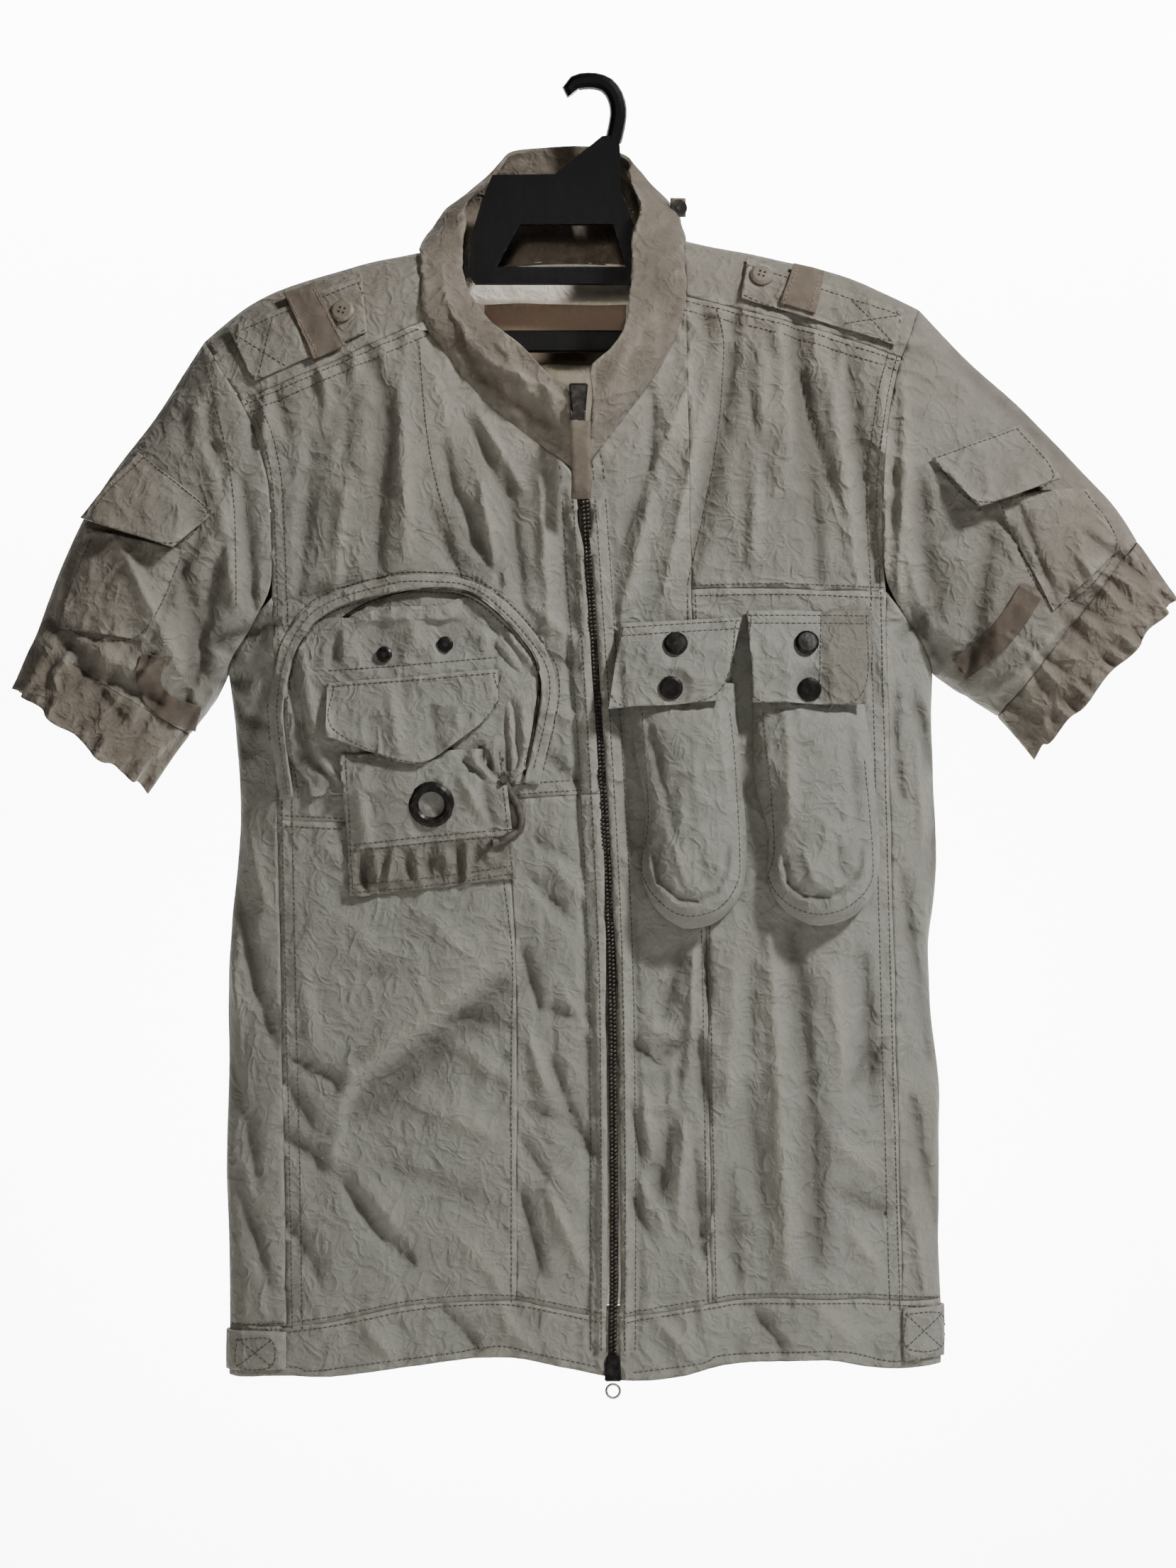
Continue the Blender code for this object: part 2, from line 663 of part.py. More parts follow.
class Front:
    """The finished cloth seen from the front, which pockets and straps lie on."""

    def __init__(self, grids):
        points, faces = [], []
        for grid in grids:
            start = len(points)
            width = len(grid[0])
            for line in grid:
                points += line
            for r in range(len(grid) - 1):
                for c in range(width - 1):
                    a = start + r * width + c
                    faces.append((a, a + 1, a + width + 1))
                    faces.append((a, a + width + 1, a + width))
        self.tree = BVHTree.FromPolygons([tuple(p) for p in points], faces)

    def at(self, x, z):
        """Point on the cloth straight behind a place seen from the front."""
        hit = self.tree.ray_cast(Vector((x, -400, z)), Vector((0, 1, 0)))[0]
        if hit is None:
            raise ValueError(f"no cloth behind {x:.1f}, {z:.1f}")
        return hit

    def patch(self, outline, columns, rows, height=None, lift=LIFT):
        """Grid of points over a four-sided outline, moved out from the cloth.

        The outline is a function of two fractions, across and up. The height is
        another, and says how far the piece stands out beyond its lift.
        """
        base = []
        for r in range(rows + 1):
            line = []
            for c in range(columns + 1):
                x, z = outline(c / columns, r / rows)
                line.append(self.at(x, z))
            base.append(line)
        outward = grid_normals(base)
        return [[p + n * (lift + (height(c / columns, r / rows) if height else 0.0))
                 for c, (p, n) in enumerate(zip(line, normals))]
                for r, (line, normals) in enumerate(zip(base, outward))]


def four_sided(low_left, low_right, high_right, high_left):
    """Outline function of a flat patch with four corners."""
    def place(u, v):
        low = [a + (b - a) * u for a, b in zip(low_left, low_right)]
        high = [a + (b - a) * u for a, b in zip(high_left, high_right)]
        return tuple(a + (b - a) * v for a, b in zip(low, high))
    return place


def between(left_edge, right_edge):
    """Outline function between a left edge and a right edge, both from the bottom up."""
    def place(u, v):
        left, right = path(left_edge, v), path(right_edge, v)
        return tuple(a + (b - a) * u for a, b in zip(left, right))
    return place


def lay_on(front, name, outline, columns, rows, wall=1.4, height=None, lift=LIFT, finish=CLOTH):
    """Piece of cloth that lies on the front, as a closed wall."""
    grid = front.patch(outline, columns, rows, height, lift + wall)
    make_wall(name, grid, grid_normals(grid), wall, finish)
    return grid


def turned(name, profile, centre, axis, finish, segments=20):
    """Round piece turned about an axis from (radius, height) pairs on its outside."""
    axis = axis.normalized()
    side = axis.orthogonal().normalized()
    other = axis.cross(side)
    mesh = bmesh.new()
    rings = []
    for radius, height in profile:
        if radius == 0:
            rings.append([mesh.verts.new((centre + axis * height) * MM)])
            continue
        ring = []
        for n in range(segments):
            turn = 2 * math.pi * n / segments
            spoke = side * math.cos(turn) + other * math.sin(turn)
            ring.append(mesh.verts.new((centre + axis * height + spoke * radius) * MM))
        rings.append(ring)
    loop = list(zip(rings, rings[1:]))
    if len(rings[0]) > 1:
        loop.append((rings[-1], rings[0]))
    for a, b in loop:
        for n in range(segments):
            m = (n + 1) % segments
            if len(a) == 1:
                mesh.faces.new((a[0], b[n], b[m]))
            elif len(b) == 1:
                mesh.faces.new((a[m], a[n], b[0]))
            else:
                mesh.faces.new((a[m], a[n], b[n], b[m]))
    bmesh.ops.recalc_face_normals(mesh, faces=mesh.faces)
    return finish_object(name, mesh, finish)


def prism(name, outline, y_front, y_back, finish, origin=None, bevel=0.0):
    """Flat piece with an outline seen from the front."""
    mesh = bmesh.new()
    near = [mesh.verts.new(Vector((x, y_front, z)) * MM) for x, z in outline]
    far = [mesh.verts.new(Vector((x, y_back, z)) * MM) for x, z in outline]
    mesh.faces.new(near)
    mesh.faces.new(list(reversed(far)))
    count = len(outline)
    for n in range(count):
        m = (n + 1) % count
        mesh.faces.new((near[m], near[n], far[n], far[m]))
    bmesh.ops.recalc_face_normals(mesh, faces=mesh.faces)
    if bevel:
        bmesh.ops.bevel(mesh, geom=list(mesh.edges), offset=bevel * MM, segments=1,
                        affect="EDGES", clamp_overlap=True)
    bmesh.ops.triangulate(mesh, faces=[f for f in mesh.faces if len(f.verts) > 4])
    return finish_object(name, mesh, finish, origin)


def tube(mesh, points, radius, sides):
    """Closed tube along a line of points, added to a mesh."""
    rings = []
    for n, point in enumerate(points):
        ahead = points[min(n + 1, len(points) - 1)] - points[max(n - 1, 0)]
        ahead.normalize()
        across = ahead.cross(Vector((0, 1, 0))).normalized()
        ring = []
        for s in range(sides):
            turn = 2 * math.pi * s / sides
            offset = across * math.cos(turn) + Vector((0, 1, 0)) * math.sin(turn)
            ring.append(mesh.verts.new((point + offset * radius) * MM))
        rings.append(ring)
    for a, b in zip(rings, rings[1:]):
        for s in range(sides):
            t = (s + 1) % sides
            mesh.faces.new((a[s], a[t], b[t], b[s]))
    mesh.faces.new(list(reversed(rings[0])))
    mesh.faces.new(rings[-1])


# Hanger
HOOK_RADIUS = 5.5
HOOK_CURVE = (
    (-13.0, -2.0), (-15.5, 0.0), (-11.0, 4.6), (0.0, 5.5), (8.5, 2.4), (13.6, -5.0), (15.4, -14.0),
    (14.2, -24.0), (12.0, -33.0),
)
PLATE_HALF_THICK = 5.0
PLATE_OUTLINE = (
    (5.0, -30.0), (16.0, -30.0), (17.0, -50.0), (17.0, -66.0), (24.0, -84.0), (34.0, -100.0),
    (40.0, -110.0), (40.0, -118.0), (36.0, -124.3), (-76.0, -124.3), (-80.0, -118.0),
    (-78.0, -93.0), (-72.0, -72.0), (-65.0, -55.0), (-25.0, -54.4),
)
WINDOW_OUTLINE = ((-47.0, -86.3), (12.0, -86.3), (20.0, -113.5), (-63.0, -113.5))
ARM_HEIGHT = 16.0
LOWER_BAR_ENDS = ((-152.0, -154.0), (132.0, -154.0))
BAR_HEIGHT = 13.7
UPRIGHT = 9.0


def hanger():
    """Plastic hanger: hook and plate, two arms under the shoulders and a lower bar."""
    mesh = bmesh.new()
    points = [Vector((x, 0, z)) for x, z in
              (path(HOOK_CURVE, n / 16) for n in range(17))]
    tube(mesh, points, HOOK_RADIUS, 10)
    bmesh.ops.recalc_face_normals(mesh, faces=mesh.faces)
    hook = finish_object("hanger_hook", mesh, PLASTIC)
    plate = prism("hanger_plate", PLATE_OUTLINE, -PLATE_HALF_THICK, PLATE_HALF_THICK, PLASTIC)
    window = prism("hanger_window", WINDOW_OUTLINE, -20, 20, PLASTIC)
    window.hide_render = True
    window.display_type = "WIRE"
    cut = plate.modifiers.new("window", "BOOLEAN")
    cut.operation, cut.object = "DIFFERENCE", window
    join = plate.modifiers.new("hook", "BOOLEAN")
    join.operation, join.object = "UNION", hook
    hook.hide_render = True
    hook.display_type = "WIRE"
    under = []
    for name, start, end in (("left", -81.2, -232.0), ("right", 41.2, 190.0)):
        top = []
        for n in range(9):
            x = start + (end - start) * n / 8
            clear = 4.0 + 3.0 * max(0.0, (n - 5) / 3)
            top.append((x, min(smooth(RIDGE, x), -100.0 if n else -101.0) - clear))
        low = [(x, z - ARM_HEIGHT) for x, z in reversed(top)]
        under += low
        prism("hanger_arm_" + name, top + low, -PLATE_HALF_THICK, PLATE_HALF_THICK, PLASTIC)

    def rise(x):
        """Top of an upright at a distance across, just under the arm."""
        return smooth(under, x) - 2 * HALF_GAP

    (left, left_top), (right, right_top) = LOWER_BAR_ENDS
    bar = [(left, left_top - BAR_HEIGHT), (right, right_top - BAR_HEIGHT),
           (right, rise(right)), (right - UPRIGHT, rise(right - UPRIGHT)),
           (right - UPRIGHT, right_top), (left + UPRIGHT, left_top),
           (left + UPRIGHT, rise(left + UPRIGHT)), (left, rise(left))]
    prism("hanger_lower_bar", bar, -4.5, 4.5, PLASTIC, bevel=1.0)


def body_cloth(sewn):
    """Fronts, sides, back, yokes and hem, all on one shared grid of points."""
    left, right, back = LEFT.grid(), RIGHT.grid(), back_grid()
    last = LEFT.columns
    back_last = len(back[0]) - 1
    side_left = side_grid([line[0] for line in left], [line[back_last] for line in back], -1)
    side_right = side_grid([line[0] for line in right], [line[0] for line in back], 1)
    sewn.add("front_left_chest", part_of(left, (ROW_WAIST, ROW_TOP), (0, last)), WALL)
    sewn.add("front_left_lower", part_of(left, (0, ROW_WAIST), (0, CHEST_COLUMNS)), WALL)
    sewn.add("front_left_strip", part_of(left, (0, ROW_WAIST), (CHEST_COLUMNS, last)), WALL)
    chest, lower = (ROW_ARM, ROW_TOP), (0, ROW_ARM)
    sewn.add("front_right_chest", mirrored(part_of(right, chest, (0, CHEST_COLUMNS))), WALL)
    sewn.add("front_right_lower", mirrored(part_of(right, lower, (0, CHEST_COLUMNS))), WALL)
    sewn.add("front_right_strip", mirrored(part_of(right, (0, ROW_TOP), (CHEST_COLUMNS, last))), WALL)
    sewn.add("side_left", mirrored(side_left), WALL)
    sewn.add("side_right", side_right, WALL)
    sewn.add("back", back, WALL)
    yoke_left = yoke_grid(left[ROW_TOP][:CHEST_COLUMNS + 1],
                          list(reversed(back[ROW_TOP][back_last - CHEST_COLUMNS:])),
                          SHOULDER_END_LEFT, NECK_POINT_LEFT)
    yoke_right = yoke_grid(right[ROW_TOP][:CHEST_COLUMNS + 1], back[ROW_TOP][:CHEST_COLUMNS + 1],
                           SHOULDER_END_RIGHT, NECK_POINT_RIGHT)
    sewn.add("yoke_left", yoke_left, WALL)
    sewn.add("yoke_right", mirrored(yoke_right), WALL)
    bands = (
        ("hem_left", list(reversed(side_left[0])) + left[0][1:]),
        ("hem_right", list(reversed(right[0])) + side_right[0][1:]),
        ("hem_back", back[0]),
    )
    for name, line in bands:
        sewn.add(name, hem_grid(line, hem_point), HEM_WALL)
    return left, right, back, side_left, side_right, yoke_left, yoke_right


def arms_cloth(sewn, grids):
    """Sleeves and gathered cuffs, from the armholes out."""
    left, right, back, side_left, side_right, yoke_left, yoke_right = grids
    middle, half = SIDE_COLUMNS // 2, YOKE_ROWS // 2
    made = {}
    for name, front, side, yoke, back_column in (
            ("left", left, side_left, yoke_left, len(back[0]) - 1),
            ("right", right, side_right, yoke_right, 0)):
        down = [yoke[row][0] for row in range(half, 0, -1)]
        down += [front[row][0] for row in range(ROW_TOP, ROW_ARM, -1)]
        down += side[ROW_ARM][:middle + 1]
        behind = [yoke[row][0] for row in range(half, YOKE_ROWS)]
        behind += [back[row][back_column] for row in range(ROW_TOP, ROW_ARM, -1)]
        behind += list(reversed(side[ROW_ARM][middle:]))
        is_left = name == "left"
        top = SLEEVE_TOP_LEFT if is_left else SLEEVE_TOP_RIGHT
        low = SLEEVE_LOW_LEFT if is_left else SLEEVE_LOW_RIGHT
        rings, turns = sleeve_grid(down, behind, top, low, 34, 26)
        rings = [ring[:-1] + [ring[0]] for ring in rings]
        cuff = cuff_grid(rings[-1], CUFF_END_LEFT if is_left else CUFF_END_RIGHT, 36, 28, turns)
        if is_left:
            rings, cuff = mirrored(rings), mirrored(cuff)
        sewn.add("sleeve_" + name, rings, WALL, closed=True)
        sewn.add("cuff_" + name, cuff, WALL, closed=True)
        made[name] = (rings, cuff)
    return made


def collar_cloth(sewn, grids):
    """Stand collar from the neckline up, open at the zip."""
    left, right, back, _, _, yoke_left, yoke_right = grids
    base = [right[ROW_TOP][c] for c in range(RIGHT.columns, CHEST_COLUMNS, -1)]
    base += [yoke_right[row][CHEST_COLUMNS] for row in range(YOKE_ROWS)]
    right_count = len(base)
    base += [back[ROW_TOP][c] for c in range(CHEST_COLUMNS, CHEST_COLUMNS + NECK_COLUMNS)]
    base += [yoke_left[row][CHEST_COLUMNS] for row in range(YOKE_ROWS, -1, -1)]
    base += [left[ROW_TOP][c] for c in range(CHEST_COLUMNS + 1, LEFT.columns + 1)]
    left_count = len(base) - 1 - right_count - NECK_COLUMNS
    sections = ((right_count, COLLAR_RIGHT), (NECK_COLUMNS, COLLAR_BACK), (left_count, COLLAR_LEFT))
    grid = collar_grid(base, sections)
    sewn.add("collar", grid, COLLAR_WALL)
    return grid


def zip_chain(left, right, collar):
    """Chain of the zip between the two fronts and up into the collar."""
    rows = [(left[row][-1], right[row][-1]) for row in range(ROW_TOP + 1)]
    foot_left, foot_right = hem_point(rows[0][0], -815), hem_point(rows[0][1], -815)
    rows.insert(0, (foot_left, foot_right))
    rows += [(collar[row][-1], collar[row][0]) for row in (1, 2, 3)]
    grid = []
    for a, b in rows:
        across = (b - a).normalized()
        middle = (a + b) / 2
        side = min(CHAIN_WIDTH / 2, (b - a).length / 2 - 0.45)
        grid.append([middle - across * side, middle, middle + across * side])
    make_wall("zip_chain", grid, grid_normals(grid), CHAIN_WALL, CHAIN)
    return grid


def eased(fraction):
    """Fraction that crowds towards both ends, for steep sides."""
    return (1 - math.cos(math.pi * fraction)) / 2


# Arch pocket on the left chest
ARCH_EDGE = (
    (-189, -452), (-195.7, -389), (-177, -341), (-131, -323), (-101, -321), (-78, -324.5),
    (-57, -341), (-38.4, -363.4), (-32.5, -380), (-34.8, -401), (-42, -431), (-44.3, -443),
)
ARCH_BAND_WIDTH = 10.0
ARCH_PANEL_LEFT = ((-179, -452), (-188, -389), (-170, -349), (-133, -332))
ARCH_PANEL_RIGHT = (
    (-52, -443), (-46, -430), (-41, -401), (-41, -382), (-47, -366), (-62, -348), (-84, -331),
)
ARCH_PANEL_CROWN = 2.6
ARCH_FLAP = {"left": -167.5, "right": -60, "top": (-380, -371), "low": (-413, -434, -397)}
ARCH_FLAP_POINT = 0.56
PATCH_CORNERS = ((-154.6, -515.7), (-48.4, -503), (-57, -421), (-159, -424))
PATCH_RISE = ((0, 0.0), (0.38, 0.0), (0.6, 2.6), (0.82, 5.4), (1, 5.4))
GROMMET_PLACE = (-102.2, -456.1)
ARCH_SNAPS = {"left": (-132, -362), "right": (-93.6, -355.7)}


def arch_outline(u, v):
    """Band that follows the arch: u runs outward over it, v along it."""
    x, z = path(ARCH_EDGE, v)
    ahead, behind = path(ARCH_EDGE, min(v + 0.01, 1)), path(ARCH_EDGE, max(v - 0.01, 0))
    run = Vector((ahead[0] - behind[0], ahead[1] - behind[1])).normalized()
    return x - run.y * ARCH_BAND_WIDTH * (1 - u), z + run.x * ARCH_BAND_WIDTH * (1 - u)


def arch_flap_outline(u, v):
    """Flap that ends in a blunt point."""
    x = ARCH_FLAP["left"] + (ARCH_FLAP["right"] - ARCH_FLAP["left"]) * u
    top = ARCH_FLAP["top"][0] + (ARCH_FLAP["top"][1] - ARCH_FLAP["top"][0]) * u
    left, point, right = ARCH_FLAP["low"]
    if u < ARCH_FLAP_POINT:
        low = left + (point - left) * u / ARCH_FLAP_POINT
    else:
        low = point + (right - point) * (u - ARCH_FLAP_POINT) / (1 - ARCH_FLAP_POINT)
    return x, low + (top - low) * v


def arch_pocket(front):
    """Arch pocket: raised band, inner panel, patch pocket with a grommet, flap and snaps."""
    lay_on(front, "arch_band", arch_outline, 2, 22, 1.5, lambda u, v: 2.2 * u, lift=0.6)
    panel = lay_on(front, "arch_panel", between(ARCH_PANEL_LEFT, ARCH_PANEL_RIGHT), 8, 8, 1.2,
                   lambda u, v: ARCH_PANEL_CROWN * math.sin(math.pi * u) ** 0.6
                   * min(1.0, 3 * v) * (1 - v ** 4), lift=0.9)
    patch = lay_on(front, "patch_pocket", four_sided(*PATCH_CORNERS), 7, 8, 1.4,
                   lambda u, v: smooth(PATCH_RISE, v) + 1.5 * math.sin(math.pi * u)
                   * math.sin(math.pi * v), lift=0.8)
    lay_on(front, "arch_flap", arch_flap_outline, 8, 4, 1.4,
           lambda u, v: 7.1 - 2.4 * v + 0.8 * math.sin(math.pi * u), lift=0.8)
    seat = Front([patch])
    ring = ((GROMMET_OUTER / 2, 0.0), (GROMMET_OUTER / 2, 1.6), (GROMMET_OUTER / 2 - 2.2, 3.0),
            (GROMMET_INNER / 2 + 1.6, 3.0), (GROMMET_INNER / 2, 1.6), (GROMMET_INNER / 2, 0.0))
    stud(seat, "grommet", GROMMET_PLACE, ring, DARK_METAL, 24, 0.5)
    for side, place in ARCH_SNAPS.items():
        stud(Front([panel]), "arch_snap_" + side, place, snap_profile(SMALL_SNAP_DIAMETER, 2.0),
             DARK_METAL, 16)


def snap_profile(diameter, height):
    """Outside of a domed cap from its foot to its crown."""
    radius = diameter / 2
    return ((0, 0), (radius, 0), (radius, height * 0.45), (radius * 0.78, height * 0.9), (0, height))


def stud(seat, name, place, profile, finish, segments=20, gap=0.35):
    """Round piece that sits on a surface at a place seen from the front."""
    x, z = place
    point = seat.at(x, z)
    reach = max(radius for radius, _ in profile) * 0.8
    across = seat.at(x + reach, z) - seat.at(x - reach, z)
    up = seat.at(x, z + reach) - seat.at(x, z - reach)
    axis = across.cross(up).normalized()
    corners = [seat.at(x + dx * reach, z + dz * reach) for dx, dz in
               ((1, 0), (-1, 0), (0, 1), (0, -1), (0.7, 0.7), (-0.7, 0.7), (0.7, -0.7), (-0.7, -0.7))]
    rise = max((corner - point).dot(axis) for corner in corners + [point])
    turned(name, profile, point + axis * (max(rise, 0.0) + gap), axis, finish, segments)


# Bellows pouches on the right chest
POUCHES = {
    "left": {
        "left": ((57, -534.5), (38, -524), (28.5, -500), (33, -463), (26, -428), (21, -380)),
        "right": ((60, -534.7), (80, -530), (94, -512), (96, -490), (93, -445), (88, -380)),
        "flap": ((10.5, -396.5), (78, -391), (92.5, -338), (16, -342)),
        "snaps": ((51, -355.7), (47.9, -383.3)),
    },
    "right": {
        "left": ((137, -533.5), (119, -525), (108, -505), (110, -479), (101, -443), (99, -380)),
        "right": ((141, -533.5), (160, -530), (177, -513), (180, -493), (178, -450), (167, -380)),
        "flap": ((97.5, -392.5), (167.5, -393.5), (175, -334), (95.5, -334)),
        "snaps": ((133.3, -354.8), (134.7, -384.2)),
    },
}
POUCH_PROUD = 20.0
POUCH_MOUTH = 9.0
FLAP_PROUD = 13.0


def pouch_height(u, v):
    """How far a pouch stands out: steep sides, round foot, flatter at its mouth."""
    side = math.sin(math.pi * u) ** 0.4 if 0 < u < 1 else 0.0
    foot = math.sin(math.pi / 2 * min(1.0, v / 0.22))
    mouth = POUCH_PROUD + (POUCH_MOUTH - POUCH_PROUD) * max(0.0, (v - 0.3) / 0.7) ** 0.8
    return side * foot * mouth


def flap_height(u, v):
    """How far a flap stands out: sewn down at the top, over the pouch below."""
    drop = math.sin(math.pi / 2 * min(1.0, (1 - v) / 0.5))
    return FLAP_PROUD * drop * (0.8 + 0.2 * math.sin(math.pi * min(max(u, 0.001), 0.999)) ** 0.4)


def pouches(front):
    """Two pouches, each with a flap and two snaps down its middle."""
    for side, sizes in POUCHES.items():
        body = between(sizes["left"], sizes["right"])
        lay_on(front, "pouch_" + side, lambda u, v: body(eased(u), v), 8, 10, 1.4,
               lambda u, v: pouch_height(eased(u), v))
        flap = lay_on(front, "pouch_flap_" + side, four_sided(*sizes["flap"]), 6, 6, 1.5,
                      flap_height)
        for level, place in zip(("upper", "lower"), sizes["snaps"]):
            stud(Front([flap]), f"pouch_snap_{side}_{level}", place,
                 snap_profile(SNAP_DIAMETER, 2.6), DARK_METAL)


# Epaulettes, twill loops and their buttons
SHOULDERS = {
    "left": {
        "strap": ((-215, -190), (-143, -158.5), (-146.5, -123), (-232, -156)),
        "loop": ((-177, -176.5), (-156, -167), (-177, -128), (-196, -134.5)),
        "button": (-159, -145),
    },
    "right": {
        "strap": ((92.5, -137), (190, -166), (196, -144), (97, -112)),
        "loop": ((117.5, -141), (138, -147), (145, -120.5), (126, -116)),
        "button": (106, -122),
    },
}


def epaulettes(front):
    """Strap over each shoulder, under a twill loop, with a button near the collar."""
    for side, sizes in SHOULDERS.items():
        strap = lay_on(front, "epaulette_" + side, four_sided(*sizes["strap"]), 9, 6, 1.4, lift=1.5)
        lay_on(front, "epaulette_loop_" + side, four_sided(*sizes["loop"]), 3, 6, 1.2,
               lift=3.7, finish=TWILL)
        stud(Front([strap]), "epaulette_button_" + side, sizes["button"],
             snap_profile(BUTTON_DIAMETER, 3.0), BUTTON)


# Pockets and straps on the sleeves
SLEEVES = {
    "left": {
        "pocket": ((-339, -345), (-285, -353), (-258, -296), (-322, -281)),
        "flap": ((-321, -277.5), (-264, -295.5), (-239, -272), (-288, -233)),
        "strap": ((-278, -362), (-282, -380), (-272, -394), (-253, -401)),
    },
    "right": {
        "pocket": ((290, -334), (334, -294), (312, -256), (250, -262)),
        "flap": ((241, -269.5), (293, -253), (270, -216), (212, -238)),
        "strap": ((275, -322), (262, -343), (248, -358), (232, -370)),
    },
}
STRAP_WIDTH = 16.0


def strap_outline(route):
    """Outline of a strap of even width along a route from its upper end."""
    def place(u, v):
        x, z = path(route, 1 - v)
        ahead, behind = path(route, min(1.01 - v, 1)), path(route, max(0.99 - v, 0))
        run = Vector((behind[0] - ahead[0], behind[1] - ahead[1])).normalized()
        offset = (u - 0.5) * STRAP_WIDTH
        return x + run.y * offset, z - run.x * offset
    return place


def sleeve_trim(front):
    """Patch pocket that gapes a little under its flap, and a twill strap, on each sleeve."""
    for side, sizes in SLEEVES.items():
        lay_on(front, "sleeve_pocket_" + side, four_sided(*sizes["pocket"]), 6, 6, 1.4,
               lambda u, v: 3.0 * math.sin(math.pi * u) * v, lift=0.9)
        lay_on(front, "sleeve_flap_" + side, four_sided(*sizes["flap"]), 6, 5, 1.4,
               lambda u, v: 6.5 * (1 - v) ** 0.6, lift=1.0)
        lay_on(front, "sleeve_strap_" + side, strap_outline(sizes["strap"]), 3, 7, 1.4,
               lambda u, v: 0.4, lift=1.0, finish=TWILL)


# Sliders, pulls and the ring
TOP_SLIDER = {"x": -10.0, "high": -193.0, "low": -211.0, "half_high": 6.0, "half_low": 4.5,
              "seat": 0.6}
LOW_SLIDER = {"x": 11.8, "high": -804.0, "low": -820.5, "half_high": 4.2, "half_low": 5.5,
              "seat": -0.4}
SLIDER_THICK = 4.4
PULL_THICK = 1.6
PULL_TOP = -203.0
PULL_LOW = -216.0
PULL_HALF = 3.8
TAPE_LOW = -266.0
TAPE_HALF = 6.1
PULL_GAP = 0.6


def slider(front, name, sizes):
    """Slider that lies in front of the chain; returns the depth of its face."""
    steps = [n / 4 for n in range(5)]
    depths = []
    for v in steps:
        half = sizes["half_low"] + (sizes["half_high"] - sizes["half_low"]) * v + 1
        z = sizes["low"] + (sizes["high"] - sizes["low"]) * v
        rays = [front.tree.ray_cast(Vector((sizes["x"] + half * (2 * u - 1), -400, z)),
                                    Vector((0, 1, 0)))[0] for u in steps]
        depths += [hit.y for hit in rays if hit is not None]
    back = min(depths) + sizes["seat"]
    x = sizes["x"]
    outline = ((x - sizes["half_low"], sizes["low"]), (x + sizes["half_low"], sizes["low"]),
               (x + sizes["half_high"], sizes["high"]), (x - sizes["half_high"], sizes["high"]))
    prism(name, outline, back - SLIDER_THICK, back, DARK_METAL, bevel=1.1)
    return back - SLIDER_THICK


def box(x_middle, half, low, high):
    """Corners of an upright box seen from the front."""
    return ((x_middle - half, low), (x_middle + half, low), (x_middle + half, high),
            (x_middle - half, high))


def zip_hardware(front):
    """Both sliders, the metal pull with its twill tape, and the ring at the hem."""
    face = slider(front, "slider_top", TOP_SLIDER)
    middle = face - PULL_GAP - PULL_THICK / 2
    pivot = Vector((TOP_SLIDER["x"], middle, PULL_TOP - PULL_THICK / 2))
    near, far = middle - PULL_THICK / 2, middle + PULL_THICK / 2
    prism("pull_top", box(TOP_SLIDER["x"], PULL_HALF, PULL_LOW, PULL_TOP), near, far, DARK_METAL,
          pivot, bevel=0.4)
    prism("pull_tape", box(TOP_SLIDER["x"] + 1.6, TAPE_HALF, TAPE_LOW, PULL_LOW - 2 * HALF_GAP),
          near, far, TWILL, pivot)
    face = slider(front, "slider_bottom", LOW_SLIDER)
    centre = Vector((LOW_SLIDER["x"], face + SLIDER_THICK / 2,
                     LOW_SLIDER["low"] - RING_GAP - RING_WIRE - RING_RADIUS))
    wire = [(RING_RADIUS + RING_WIRE * math.cos(t), RING_WIRE * math.sin(t))
            for t in (2 * math.pi * n / 8 for n in range(8))]
    turned("pull_ring", wire, centre, Vector((0, -1, 0)), STEEL, 20)


# Neck label, collar tab and hem tabs
LABEL_CORNERS = ((-71, -174), (20.3, -174), (20.3, -134.7), (-71, -134.7))
LABEL_WALL = 0.8
TAB_HEIGHT = 12.0
TAB_LENGTH = 10.0
TAB_PLACE = {"y": 6.0, "z": -75.0}


def label(back):
    """Bare woven label on the inside of the back, below the neck."""
    tree = Front([mirrored(back)]).tree
    outline = four_sided(*LABEL_CORNERS)
    grid = []
    for r in range(4):
        line = []
        for c in range(7):
            x, z = outline(c / 6, r / 3)
            hit = tree.ray_cast(Vector((x, 0, z)), Vector((0, 1, 0)))[0]
            line.append(hit - Vector((0, WALL + 1.0 + LABEL_WALL, 0)))
        grid.append(line)
    make_wall("neck_label", grid, grid_normals(grid), LABEL_WALL, LABEL)


def collar_tab(collar):
    """Small tab that stands out from the right side of the collar."""
    tree = Front([collar]).tree
    start = Vector((300, TAB_PLACE["y"], TAB_PLACE["z"]))
    reach = [tree.ray_cast(start + Vector((0, dy, dz)), Vector((-1, 0, 0)))[0].x
             for dy in (-2, 0, 2) for dz in (-TAB_HEIGHT / 2, 0, TAB_HEIGHT / 2)]
    x = max(reach) + 0.4
    outline = ((x, TAB_PLACE["z"] - TAB_HEIGHT / 2), (x + TAB_LENGTH, TAB_PLACE["z"] - TAB_HEIGHT / 2),
               (x + TAB_LENGTH, TAB_PLACE["z"] + TAB_HEIGHT / 2), (x, TAB_PLACE["z"] + TAB_HEIGHT / 2))
    prism("collar_tab", outline, TAB_PLACE["y"] - 1.2, TAB_PLACE["y"] + 1.2, CLOTH)


